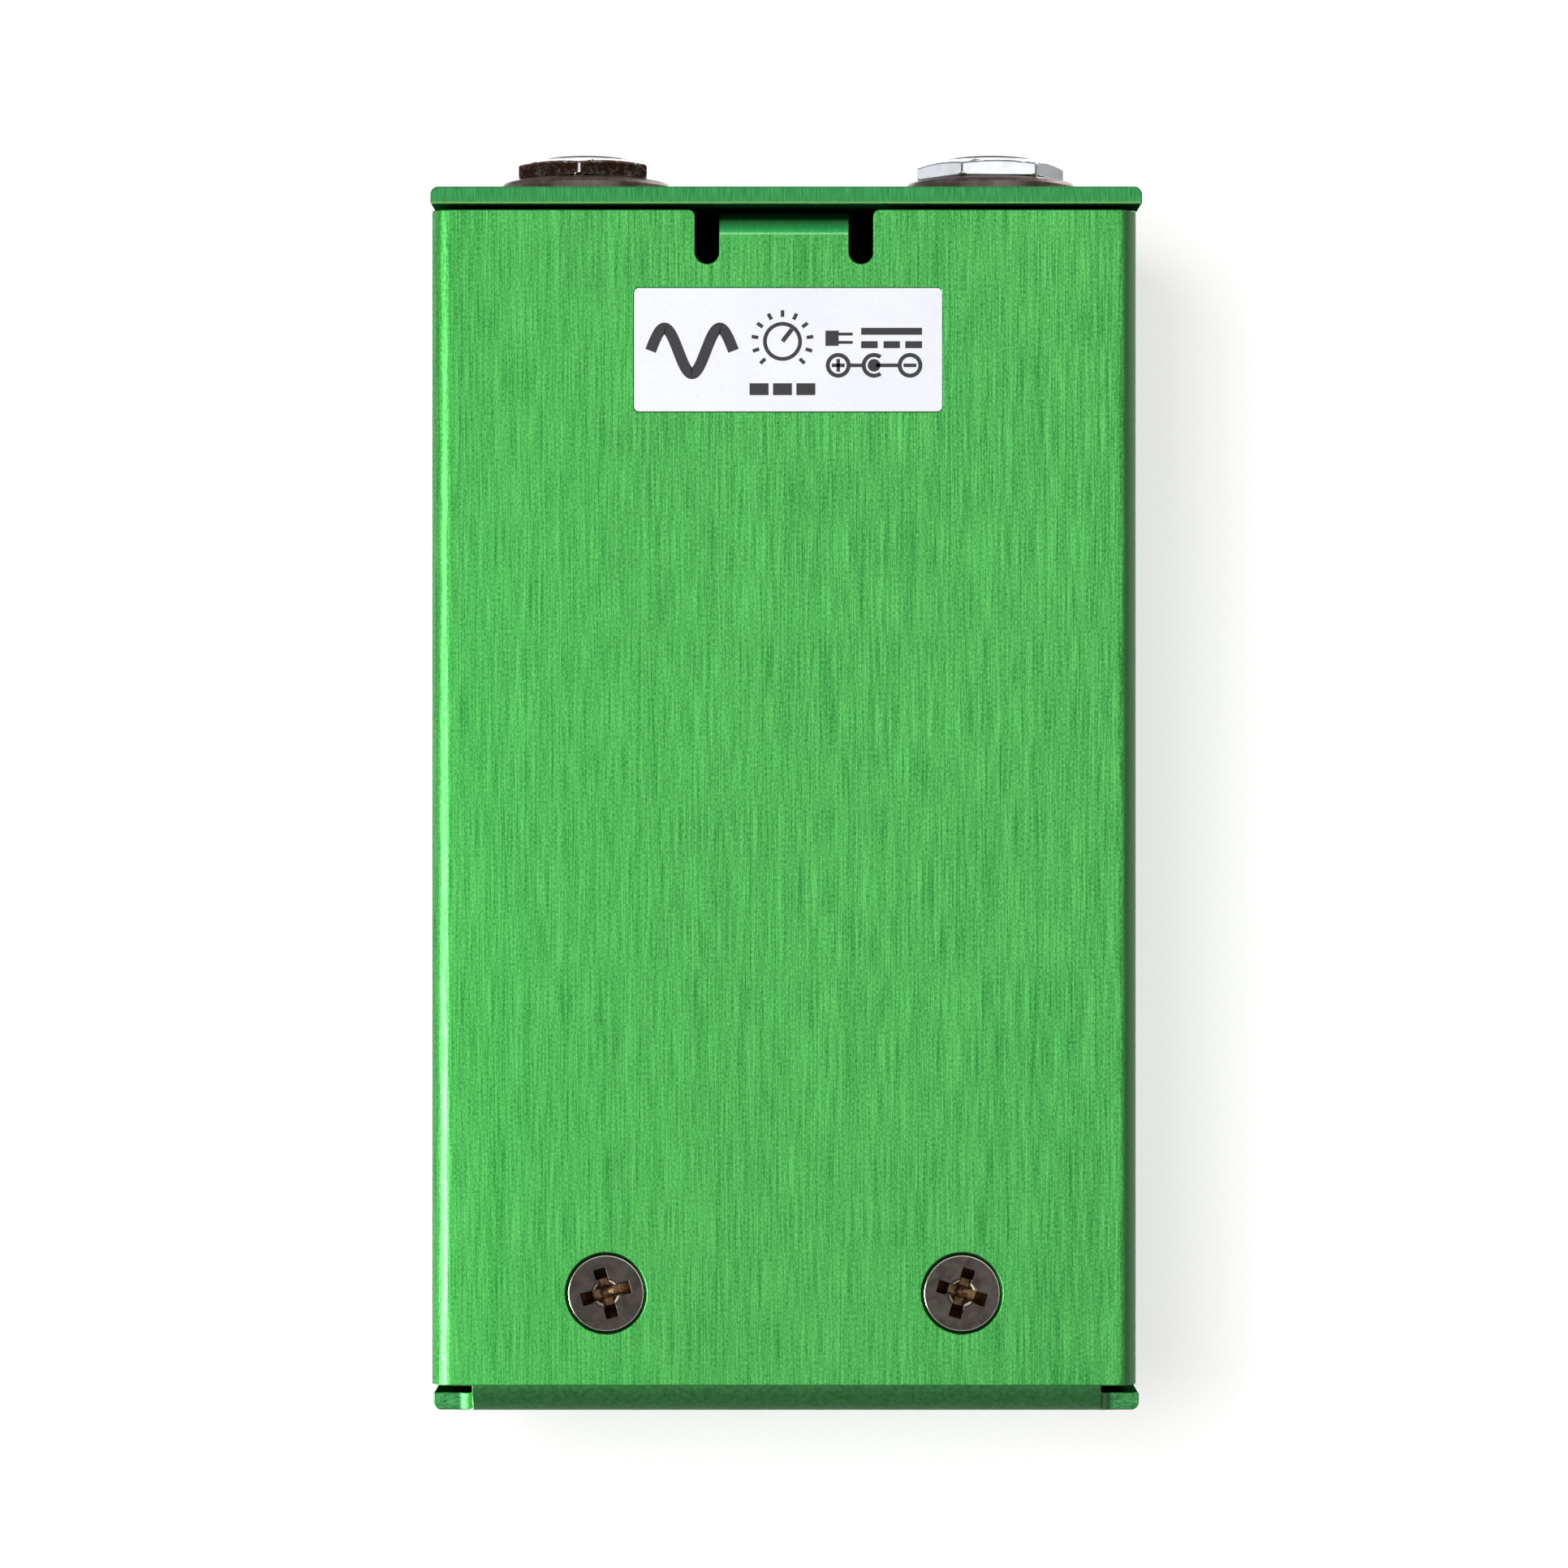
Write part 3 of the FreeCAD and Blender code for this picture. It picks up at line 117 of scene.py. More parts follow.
class Finish:
    """A procedural material, built up from short named steps."""

    def __init__(self, name, **sockets):
        self.material = bpy.data.materials.new(name)
        self.material.use_nodes = True
        self.tree = self.material.node_tree
        self.shader = self.tree.nodes["Principled BSDF"]
        self.place = self.add("ShaderNodeTexCoord").outputs["Object"]
        for socket, value in sockets.items():
            self.set(socket.replace("_", " ").title().replace("Ior", "IOR"), value)

    def add(self, kind, **settings):
        node = self.tree.nodes.new(kind)
        for key, value in settings.items():
            setattr(node, key, value)
        return node

    def feed(self, socket, value):
        """Links an output to a socket, or sets the socket to a plain value."""
        if isinstance(value, bpy.types.NodeSocket):
            self.tree.links.new(value, socket)
        else:
            socket.default_value = value

    def set(self, socket, value):
        self.feed(self.shader.inputs[socket], value)

    def noise(self, scale, stretch=(1, 1, 1), detail=2.0, rough=0.5, shift=(0, 0, 0), distortion=0.0):
        """Noise from 0 to 1 with about `scale` cells to the metre, times the stretch on each axis."""
        mapping = self.add("ShaderNodeMapping")
        mapping.inputs["Location"].default_value = shift
        mapping.inputs["Scale"].default_value = [scale * share for share in stretch]
        self.feed(mapping.inputs["Vector"], self.place)
        texture = self.add("ShaderNodeTexNoise")
        texture.inputs["Scale"].default_value = 1.0
        texture.inputs["Detail"].default_value = detail
        texture.inputs["Roughness"].default_value = rough
        texture.inputs["Distortion"].default_value = distortion
        self.feed(texture.inputs["Vector"], mapping.outputs["Vector"])
        return texture.outputs["Fac"]

    def cells(self, scale):
        """Voronoi distance with about `scale` cells to the metre."""
        mapping = self.add("ShaderNodeMapping")
        mapping.inputs["Scale"].default_value = (scale, scale, scale)
        self.feed(mapping.inputs["Vector"], self.place)
        texture = self.add("ShaderNodeTexVoronoi", feature="F1")
        texture.inputs["Scale"].default_value = 1.0
        self.feed(texture.inputs["Vector"], mapping.outputs["Vector"])
        return texture.outputs["Distance"]

    def maths(self, operation, *values):
        node = self.add("ShaderNodeMath", operation=operation)
        for socket, value in zip(node.inputs, values):
            self.feed(socket, value)
        return node.outputs[0]

    def spread(self, value, low, high, to_low=0.0, to_high=1.0):
        """Stretches the range low to high onto another one, and holds it there."""
        node = self.add("ShaderNodeMapRange", clamp=True)
        for socket, number in zip(node.inputs, (value, low, high, to_low, to_high)):
            self.feed(socket, number)
        return node.outputs["Result"]

    def past(self, value, edge):
        """Mask that rises from 0 to 1 over a soft edge."""
        return self.spread(value, *edge)

    def until(self, value, edge):
        """Mask that falls from 1 to 0 over a soft edge."""
        return self.spread(value, *edge, 1.0, 0.0)

    def between(self, value, edges):
        """Mask that is 1 between two soft edges."""
        return self.times(self.past(value, edges[0]), self.until(value, edges[1]))

    def times(self, *shares):
        """Product of masks and numbers."""
        product = shares[0]
        for share in shares[1:]:
            product = self.maths("MULTIPLY", product, share)
        return product

    def axes(self):
        """The three object coordinates."""
        node = self.add("ShaderNodeSeparateXYZ")
        self.feed(node.inputs[0], self.place)
        return node.outputs

    def facing(self):
        """The three parts of the surface normal, along the world's axes."""
        node = self.add("ShaderNodeSeparateXYZ")
        self.feed(node.inputs[0], self.add("ShaderNodeNewGeometry").outputs["Normal"])
        return node.outputs

    def mix(self, share, first, second):
        node = self.add("ShaderNodeMix", data_type="RGBA")
        for socket, value in zip((node.inputs[0], node.inputs[6], node.inputs[7]), (share, first, second)):
            self.feed(socket, value)
        return node.outputs[2]

    def bump(self, height, distance, strength=1.0, under=None):
        """Tips the normal by a height from 0 to 1, where 1 stands `distance` metres high."""
        node = self.add("ShaderNodeBump")
        node.inputs["Strength"].default_value = strength
        node.inputs["Distance"].default_value = distance
        self.feed(node.inputs["Height"], height)
        if under is not None:
            self.feed(node.inputs["Normal"], under)
        self.set("Normal", node.outputs["Normal"])
        return node.outputs["Normal"]

    def worn(self, colour_a, colour_b, scale):
        """Base colour that wanders between two close tones."""
        return self.mix(self.spread(self.noise(scale), 0.35, 0.65), colour_a, colour_b)


def screw_radius(finish):
    """Distance from the axis of the nearer of the two screws."""
    x, y = finish.axes()[:2]
    side = finish.maths("SUBTRACT", finish.maths("ABSOLUTE", x), SCREW_X)
    ahead = finish.maths("SUBTRACT", y, SCREW_Y)
    squares = finish.maths("ADD", finish.times(side, side), finish.times(ahead, ahead))
    return finish.maths("SQRT", squares)


def brushed_height(finish, grain):
    """Height from 0 to 1 of a brushed surface: hairs, streaks, broad bands and specks."""
    layers = [
        (0.36, finish.noise(8200, grain, detail=1.0, rough=0.5)),
        (0.26, finish.noise(4200, [share ** 1.1 for share in grain], detail=2.0, rough=0.6, shift=(3, 1, 2))),
        (0.14, finish.noise(900, [share ** 1.3 for share in grain], detail=3.0, rough=0.7, shift=(7, 5, 1))),
        (0.38, finish.noise(6500, (1.0, 0.55, 1.0), detail=1.0, shift=(1, 9, 4))),
    ]
    parts = [finish.times(layer, weight) for weight, layer in layers]
    height = parts[0]
    for part in parts[1:]:
        height = finish.maths("ADD", height, part)
    return height


def facing_down(finish):
    """Mask of the faces that look down."""
    return finish.until(finish.facing()[2], (-0.9, -0.8))


def sawn_rear_edge(finish, green):
    """Cross-grained cut end of the rear wall, with a pale lip along its inner side."""
    down = facing_down(finish)
    y = finish.axes()[1]
    grain = finish.noise(7000, (1.0, 0.05, 1.0), detail=3.0, rough=0.7)
    sawn = finish.mix(finish.spread(grain, 0.35, 0.65), srgb(22, 122, 58), srgb(56, 172, 88))
    green = finish.mix(finish.times(down, finish.past(y, REAR_EDGE)), green, sawn)
    return finish.mix(finish.times(down, finish.between(y, REAR_LIP), 0.6), green, srgb(146, 186, 104))


def tab_bend_highlight_and_shade(finish, green):
    """Painted highlight along the crease across the tab between the slots, and painted shade that darkens the
    curve behind it towards the rear.
    """
    x, y, z = finish.axes()
    tab = finish.times(finish.until(finish.maths("ABSOLUTE", x), TAB_SIDE), finish.until(z, TAB_TOP))
    # Painted shade: the curve goes from mid green to near-black towards the rear.
    curve = finish.mix(finish.past(y, TAB_SHADE), srgb(24, 180, 90), srgb(4, 50, 26))
    green = finish.mix(finish.times(tab, finish.between(y, TAB_CURVE), 0.75), green, curve)
    # Painted highlight: a pale green line along the crease.
    return finish.mix(finish.times(tab, finish.between(y, TAB_CREASE), 0.7), green, srgb(150, 240, 158))


def side_bend_reflection(finish, green):
    """Painted reflection: greyer colour where the sheet bends up at -X."""
    across = finish.facing()[0]
    bend = finish.times(finish.past(across, (-0.99, -0.95)), finish.spread(across, -0.60, -0.25, 0.85, 0.0))
    return finish.mix(bend, green, srgb(115, 162, 117))


def torn_notches(finish, green):
    """Rough faces of the notches at the front corners."""
    y, z = finish.axes()[1:]
    notch = finish.times(finish.until(y, FRONT_EDGE), facing_down(finish), finish.past(z, NOTCH_FLOOR))
    grain = finish.noise(3800, (0.5, 1.0, 1.0), detail=4.0, rough=0.75, distortion=0.8)
    torn = finish.mix(finish.spread(grain, 0.38, 0.62), srgb(30, 104, 50), srgb(74, 176, 96))
    return finish.mix(notch, green, torn)


def stretched_fold(finish, green, peel):
    """Mottled film where the sheet bends at the front."""
    fold = finish.times(finish.between(finish.facing()[1], ((-0.99, -0.95), (-0.22, -0.12))),
                        finish.until(finish.axes()[2], FOLD_TOP))
    stretched = finish.mix(finish.spread(peel, 0.35, 0.65), srgb(66, 152, 80), srgb(88, 176, 98))
    return finish.mix(fold, green, stretched)


def inner_faces(finish):
    """Mask of the faces of the front and rear walls that look into the enclosure; these faces get painted
    shade.
    """
    along = finish.facing()[1]
    inward = finish.maths("SIGN", finish.times(finish.axes()[1], along, -1.0))
    wall = finish.past(finish.maths("ABSOLUTE", along), (0.90, 0.95))
    return finish.times(finish.past(inward, (0.4, 0.6)), wall)


def countersinks(finish):
    """Mask of the painted shade round the screws: what lies near the screws' axes and doesn't face down. It
    has no height limit, so besides the countersinks it takes in the two discs of the cover's top above the
    screws."""
    near = finish.until(screw_radius(finish), SINK_RIM)
    return finish.times(near, finish.past(finish.facing()[2], (-0.95, -0.88)))


def brushed_green(name, grain):
    """Anodised sheet with a brushed grain along the axes where `grain` is small; painted highlights,
    reflections and shade lie on the tab, the -X bend, the inner faces and the countersinks.
    """
    finish = Finish(name, coat_roughness=0.3, coat_ior=1.5)
    height = brushed_height(finish, grain)
    tone = finish.spread(height, 0.44, 0.70)
    green = finish.mix(tone, srgb(18, 138, 43), srgb(98, 210, 103))
    pits = finish.until(finish.cells(330), (0.0, 0.022))
    green = finish.mix(finish.times(pits, 0.45), green, srgb(24, 84, 36))
    for place in (sawn_rear_edge, tab_bend_highlight_and_shade, side_bend_reflection, torn_notches):
        green = place(finish, green)
    peel = finish.noise(2300)
    green = stretched_fold(finish, green, peel)
    # Painted shade: the inner faces of the walls and the countersinks turn near-black green with no coat, and
    # the inner faces also lose their metal reflection.
    inside = inner_faces(finish)
    shade = finish.maths("MAXIMUM", inside, countersinks(finish))
    finish.set("Base Color", finish.mix(shade, green, srgb(14, 62, 26)))
    finish.set("Roughness", finish.spread(tone, 0.0, 1.0, 0.46, 0.36))
    finish.set("Coat Weight", finish.spread(shade, 0.0, 1.0, 0.6, 0.0))
    finish.set("Metallic", finish.spread(inside, 0.0, 1.0, 1.0, 0.0))
    finish.set("Specular IOR Level", finish.spread(inside, 0.0, 1.0, 0.5, 0.0))
    brushed = finish.bump(height, 0.006 * MM, 0.55)
    finish.bump(peel, 0.02 * MM, 0.7, brushed)
    return finish.material


def label_film():
    """White printed film with a faint blue cast and a fine paper tooth."""
    finish = Finish("label film", specular_ior_level=0.35, coat_weight=0.15, coat_roughness=0.3)
    tooth = finish.noise(2600, detail=3.0)
    clouds = finish.noise(120, detail=2.0)
    paper = finish.mix(finish.spread(clouds, 0.3, 0.7), srgb(240, 242, 248), srgb(246, 247, 251))
    fibres = finish.spread(tooth, 0.3, 0.5, 0.25, 0.0)
    finish.set("Base Color", finish.mix(fibres, paper, srgb(226, 229, 236)))
    finish.set("Roughness", finish.spread(tooth, 0.3, 0.7, 0.42, 0.55))
    finish.bump(tooth, 0.004 * MM, 0.4)
    return finish.material


def print_ink(name, ink, worn_ink):
    """Printed ink whose cover thins slightly at a fine scale."""
    finish = Finish(name, specular_ior_level=0.3)
    grain = finish.noise(7000, detail=2.0)
    finish.set("Base Color", finish.mix(finish.spread(grain, 0.35, 0.75), ink, worn_ink))
    finish.set("Roughness", finish.spread(grain, 0.3, 0.7, 0.45, 0.6))
    return finish.material


def plated(name, colour, dull, roughness, smudge):
    """Plated metal: smudges and fine scratches."""
    finish = Finish(name, metallic=1.0)
    stain = finish.noise(420, detail=4.0, rough=0.62, distortion=0.6)
    finish.set("Base Color", finish.mix(finish.spread(stain, 0.42, 0.66, 0.0, smudge), colour, dull))
    finish.set("Roughness", finish.spread(stain, 0.35, 0.7, roughness, roughness + 0.12))
    scratch = finish.noise(2400, (1.0, 0.06, 1.0), detail=2.0)
    finish.bump(finish.times(scratch, 0.5), 0.0025 * MM, 0.25)
    return finish.material


def screw_nickel():
    """Blackened nickel: ringed by the lathe, with a painted highlight on the rim, brown in the cross recess,
    and a painted glint in the pit of the recess.
    """
    finish = Finish("screw nickel", metallic=1.0)
    out = screw_radius(finish)
    deep = finish.axes()[2]
    recessed = finish.past(deep, RECESS_DEPTH)
    smear = finish.noise(800, detail=4.0, rough=0.6, distortion=0.8)
    face = finish.mix(finish.spread(smear, 0.35, 0.7), srgb(88, 82, 77), srgb(64, 60, 57))
    # Painted highlight: a pale ring round the rim of the head.
    rim = finish.past(out, SCREW_RIM)
    face = finish.mix(rim, face, srgb(236, 226, 208))
    recess = finish.mix(finish.spread(finish.noise(1300), 0.35, 0.7), srgb(76, 58, 42), srgb(122, 98, 70))
    # Painted glint: a pale ring in the pit of the recess, made mostly not metal so that it stays bright.
    glint = finish.times(finish.until(deep, PIT_DEPTH), finish.between(out, PIT_RIM))
    recess = finish.mix(glint, recess, srgb(238, 222, 198))
    finish.set("Base Color", finish.mix(recessed, face, recess))
    finish.set("Metallic", finish.spread(finish.times(recessed, glint), 0.0, 1.0, 1.0, 0.2))
    gloss = finish.spread(smear, 0.3, 0.7, 0.26, 0.36)
    finish.set("Roughness", finish.maths("SUBTRACT", gloss, finish.times(rim, 0.12)))
    rings = finish.spread(finish.maths("SINE", finish.times(out, 2 * math.pi / RING_PITCH)), -1, 1)
    height = finish.maths("ADD", finish.times(rings, 0.35), finish.noise(5200))
    finish.bump(height, 0.005 * MM, 0.35)
    return finish.material


def nut_chrome():
    """Chrome whose lower faces carry a mottled brown painted reflection on the input side."""
    finish = Finish("nut chrome", metallic=1.0)
    stain = finish.noise(420, detail=4.0, rough=0.62, distortion=0.6)
    bright = finish.mix(finish.spread(stain, 0.42, 0.66, 0.0, 0.5), srgb(232, 236, 240), srgb(196, 198, 204))
    # Painted reflection: mottled brown on the faces that look partly down, on the +X side.
    reflection_mottle = finish.noise(1500, detail=5.0, rough=0.75, distortion=0.9)
    brown = finish.mix(finish.spread(reflection_mottle, 0.50, 0.62), srgb(126, 90, 70), srgb(228, 216, 212))
    up = finish.facing()[2]
    below = finish.times(finish.until(up, (-0.6, -0.45)), finish.past(up, (-0.96, -0.93)),
                         finish.past(finish.axes()[0], MID_X))
    finish.set("Base Color", finish.mix(below, bright, brown))
    finish.set("Roughness", finish.spread(stain, 0.35, 0.7, 0.06, 0.18))
    finish.bump(finish.noise(2400, (1.0, 0.06, 1.0), detail=2.0), 0.0025 * MM, 0.3)
    return finish.material


def domed_washer():
    """Dark bronze-grey spring washer with rubbed high spots."""
    finish = Finish("washer grey", metallic=1.0)
    rub = finish.noise(700, detail=4.0, rough=0.6)
    bronze = finish.mix(finish.spread(rub, 0.4, 0.65), srgb(108, 96, 90), srgb(140, 128, 122))
    finish.set("Base Color", bronze)
    finish.set("Roughness", finish.spread(rub, 0.3, 0.7, 0.36, 0.5))
    finish.bump(finish.noise(3000, (0.06, 1.0, 0.06), detail=2.0), 0.003 * MM, 0.3)
    return finish.material


def moulded(name, colour, tone, roughness, tooth=4200, **sockets):
    """Moulded plastic: close tones, a fine spark-eroded tooth and soft changes of gloss."""
    finish = Finish(name, **sockets)
    clouds = finish.noise(260, detail=3.0)
    grain = finish.noise(tooth, detail=2.0)
    base = finish.mix(finish.spread(clouds, 0.35, 0.65), colour, tone)
    finish.set("Base Color", finish.mix(finish.spread(grain, 0.55, 0.75, 0.0, 0.3), base, tone))
    finish.set("Roughness", finish.spread(grain, 0.3, 0.7, roughness - 0.05, roughness + 0.08))
    finish.bump(grain, 0.006 * MM, 0.35)
    return finish.material


def lens(name, colour):
    """Tinted clear lens, with faint flow lines."""
    finish = Finish(name, ior=1.52, transmission_weight=0.75, roughness=0.08)
    flow = finish.noise(900, detail=2.0)
    finish.set("Base Color", finish.mix(finish.spread(flow, 0.3, 0.7), colour, srgb(255, 60, 40)))
    finish.bump(flow, 0.003 * MM, 0.2)
    return finish.material


def circuit_board():
    """Green solder mask over copper tracks, with the weave of the glass cloth under it."""
    finish = Finish("board green", specular_ior_level=0.15)
    weave = finish.noise(1400, detail=1.0)
    tracks = finish.add("ShaderNodeTexBrick", offset=0.37, squash=1.0)
    tracks.inputs["Scale"].default_value = 260
    tracks.inputs["Mortar Size"].default_value = 0.07
    finish.feed(tracks.inputs["Vector"], finish.place)
    lanes = finish.spread(tracks.outputs["Fac"], 0.2, 0.8)
    mask = finish.mix(finish.spread(weave, 0.35, 0.65), srgb(6, 34, 20), srgb(10, 46, 27))
    finish.set("Base Color", finish.mix(lanes, mask, srgb(20, 70, 40)))
    finish.set("Roughness", finish.spread(weave, 0.3, 0.7, 0.5, 0.65))
    finish.bump(lanes, 0.03 * MM, 0.5)
    return finish.material


def banded_resistor():
    """Tan lacquer with colour bands that follow the bead along Y."""
    finish = Finish("resistor tan", coat_weight=0.3, coat_roughness=0.2)
    lacquer = finish.worn(srgb(206, 178, 128), srgb(188, 158, 108), 1800)
    wave = finish.add("ShaderNodeTexWave", wave_type="BANDS", bands_direction="Y")
    wave.inputs["Scale"].default_value = 160
    finish.feed(wave.inputs["Vector"], finish.place)
    hue = finish.noise(300, detail=0.0)
    ring = finish.mix(finish.spread(hue, 0.45, 0.55), srgb(120, 40, 24), srgb(40, 44, 110))
    finish.set("Base Color", finish.mix(finish.spread(wave.outputs["Fac"], 0.75, 0.82), lacquer, ring))
    finish.set("Roughness", finish.spread(finish.noise(2500), 0.3, 0.7, 0.3, 0.45))
    return finish.material


def ribbon():
    """Grey ribbon cable: ten cores side by side, the first one red, with painted shade in the grooves between
    the cores.
    """
    finish = Finish("ribbon grey", specular_ior_level=0.4)
    across = finish.axes()[0]
    ridge = finish.spread(finish.maths("SINE", finish.times(across, 2 * math.pi / CORE_PITCH)), -1, 1)
    grey = finish.worn(srgb(150, 152, 156), srgb(132, 134, 139), 900)
    red = finish.until(across, FIRST_CORE)
    # Painted shade: darker grey in the grooves between the cores.
    finish.set("Base Color", finish.mix(red, finish.mix(ridge, srgb(96, 98, 102), grey), srgb(150, 30, 28)))
    finish.set("Roughness", finish.spread(ridge, 0, 1, 0.6, 0.45))
    finish.bump(ridge, 0.12 * MM, 0.7)
    return finish.material


def capacitor_can():
    """Sleeved aluminium can: blue sleeve with a pale stripe."""
    finish = Finish("can blue", coat_weight=0.3, coat_roughness=0.25)
    sleeve = finish.worn(srgb(24, 42, 96), srgb(32, 54, 118), 700)
    stripe = finish.spread(finish.facing()[0], 0.9, 0.93)
    finish.set("Base Color", finish.mix(stripe, sleeve, srgb(196, 200, 208)))
    finish.set("Roughness", finish.spread(finish.noise(1600), 0.3, 0.7, 0.32, 0.45))
    finish.bump(finish.noise(1200, detail=2.0), 0.01 * MM, 0.3)
    return finish.material


GRAIN_ALONG_Y = (1.0, 0.024, 1.0)
GRAIN_OVER_FOLDS = (1.0, 0.024, 0.024)

FINISHES = {
    "label_white": label_film(),
    "screw_nickel": screw_nickel(),
    "chrome_plate": plated("chrome plate", srgb(232, 236, 240), srgb(196, 198, 204), 0.06, 0.5),
    "zinc_plate": plated("zinc plate", srgb(196, 198, 200), srgb(150, 150, 146), 0.30, 0.6),
    "washer_grey": domed_washer(),
    "black_nylon": moulded("black nylon", srgb(17, 17, 19), srgb(27, 27, 30), 0.5),
    "contact_silver": plated("contact silver", srgb(222, 218, 206), srgb(170, 160, 138), 0.22, 0.6),
    "knob_black": moulded("knob black", srgb(26, 26, 28), srgb(38, 38, 41), 0.40, tooth=5200),
    "pointer_white": moulded("pointer white", srgb(238, 238, 234), srgb(224, 224, 218), 0.42),
    "lens_red": lens("lens red", srgb(214, 18, 14)),
    "switch_blue": moulded("switch blue", srgb(26, 68, 150), srgb(34, 84, 172), 0.42),
    "board_green": circuit_board(),
    "wafer_brown": moulded("wafer brown", srgb(120, 78, 42), srgb(98, 62, 34), 0.5),
    "ribbon_grey": ribbon(),
    "chip_black": moulded("chip black", srgb(30, 31, 33), srgb(46, 47, 50), 0.5, tooth=3000),
    "can_blue": capacitor_can(),
    "film_red": moulded("film red", srgb(150, 34, 26), srgb(176, 46, 34), 0.3, coat_weight=0.4),
    "resistor_tan": banded_resistor(),
}
NUT_CHROME = nut_chrome()
COVER_GREEN = brushed_green("anodised green, folded", GRAIN_OVER_FOLDS)
BASE_GREEN = brushed_green("anodised green, long", GRAIN_ALONG_Y)
LABEL_INK = print_ink("label ink", srgb(52, 52, 54), srgb(70, 70, 72))
DIAL_INK = print_ink("dial ink", srgb(236, 238, 232), srgb(214, 220, 208))


def finish_nodes():
    """Gives each CAD node the finish of its record slot, and the two green sheets their own grain."""
    for name, node in NODES.items():
        slot = node.data.materials[0].name.split(".")[0]
        if slot in FINISHES:
            node.data.materials[0] = FINISHES[slot]
    NODES["cover"].data.materials[0] = COVER_GREEN
    NODES["base_plate"].data.materials[0] = BASE_GREEN
    NODES["jack_nuts"].data.materials[0] = NUT_CHROME


# ------------------------------------------------------------------ edges

EDGE_ANGLE = math.radians(28)
FLAT_ANGLE = math.radians(0.3)
SEAM_GAP = 1e-6
EDGE_RADII = {
    "cover": 0.12, "base_plate": 0.12, "jack_nuts": 0.22, "cover_screws": 0.05, "footswitch_dress_nut": 0.14,
    "footswitch_plunger": 0.05, "jack_washers": 0.05, "footswitch_dress_washer": 0.06,
}


def seam_welder():
    """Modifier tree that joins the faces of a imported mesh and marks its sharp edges."""
    tree = bpy.data.node_groups.new("weld seams", "GeometryNodeTree")
    tree.interface.new_socket("Geometry", in_out="INPUT", socket_type="NodeSocketGeometry")
    tree.interface.new_socket("Geometry", in_out="OUTPUT", socket_type="NodeSocketGeometry")
    kinds = ["NodeGroupInput", "GeometryNodeRemoveAttribute", "GeometryNodeMergeByDistance",
             "GeometryNodeSetShadeSmooth", "GeometryNodeSetShadeSmooth", "NodeGroupOutput"]
    chain = [tree.nodes.new(kind) for kind in kinds]
    chain[1].inputs["Name"].default_value = "custom_normal"
    chain[2].inputs["Distance"].default_value = SEAM_GAP
    chain[3].domain = "FACE"
    chain[4].domain = "EDGE"
    chain[4].inputs["Shade Smooth"].default_value = False
    angle = tree.nodes.new("GeometryNodeInputMeshEdgeAngle")
    sharp = tree.nodes.new("FunctionNodeCompare")
    sharp.operation = "GREATER_THAN"
    sharp.inputs["B"].default_value = EDGE_ANGLE
    tree.links.new(angle.outputs["Unsigned Angle"], sharp.inputs["A"])
    tree.links.new(sharp.outputs["Result"], chain[4].inputs["Selection"])
    for first, second in zip(chain, chain[1:]):
        into = second.inputs["Geometry"] if "Geometry" in second.inputs else second.inputs[0]
        tree.links.new(first.outputs[0], into)
    return tree


def soften_edges():
    """Breaks the sharp edges of the outer pieces by a small radius."""
    tree = seam_welder()
    for name, radius in EDGE_RADII.items():
        node = NODES[name]
        weld = node.modifiers.new("weld seams", "NODES")
        weld.node_group = tree
        flat = node.modifiers.new("merge flats", "DECIMATE")
        flat.decimate_type = "DISSOLVE"
        flat.angle_limit = FLAT_ANGLE
        edge = node.modifiers.new("broken edge", "BEVEL")
        edge.width = radius * MM
        edge.segments = 2
        edge.limit_method = "ANGLE"
        edge.angle_limit = EDGE_ANGLE
        edge.use_clamp_overlap = False
        edge.harden_normals = True


# ------------------------------------------------------------------ printed marks
# Their shapes are in millimetres: u and v from the middle of the label, or of the knob.

def bar(low_u, high_u, low_v, high_v):
    """Rectangle as a ribbon: pairs of points across it."""
    return [((low_u, low_v), (low_u, high_v)), ((high_u, low_v), (high_u, high_v))]


def slanted_bar(start, end, width):
    """Straight stroke between two points."""
    along = Vector(end) - Vector(start)
    side = Vector((-along.y, along.x)).normalized() * width / 2
    return [(tuple(Vector(spot) - side), tuple(Vector(spot) + side)) for spot in (start, end)]


def arc(centre, outer, width, start=0.0, end=360.0):
    """Ring or part of one, between two angles in degrees."""
    steps = 48
    pairs = []
    for step in range(steps + 1):
        angle = math.radians(start + (end - start) * step / steps)
        way = Vector((math.cos(angle), math.sin(angle)))
        pairs.append((tuple(Vector(centre) + way * (outer - width)), tuple(Vector(centre) + way * outer)))
    return pairs


def dot(centre, radius):
    """Filled circle, as chords."""
    steps = 24
    pairs = []
    for step in range(steps + 1):
        angle = math.pi * step / steps
        u = centre[0] - radius * math.cos(angle)
        rise = max(radius * math.sin(angle), radius * 0.002)
        pairs.append(((u, centre[1] - rise), (u, centre[1] + rise)))
    return pairs


def wave(low_u, high_u, middle, height, width, periods):
    """Thick sine wave."""
    steps = 72
    pairs = []
    turn = 2 * math.pi * periods / (high_u - low_u)
    for step in range(steps + 1):
        u = low_u + (high_u - low_u) * step / steps
        spot = Vector((u, middle + height * math.sin(turn * (u - low_u))))
        slope = Vector((1, height * turn * math.cos(turn * (u - low_u)))).normalized()
        side = Vector((-slope.y, slope.x)) * width / 2
        pairs.append((tuple(spot - side), tuple(spot + side)))
    return pairs


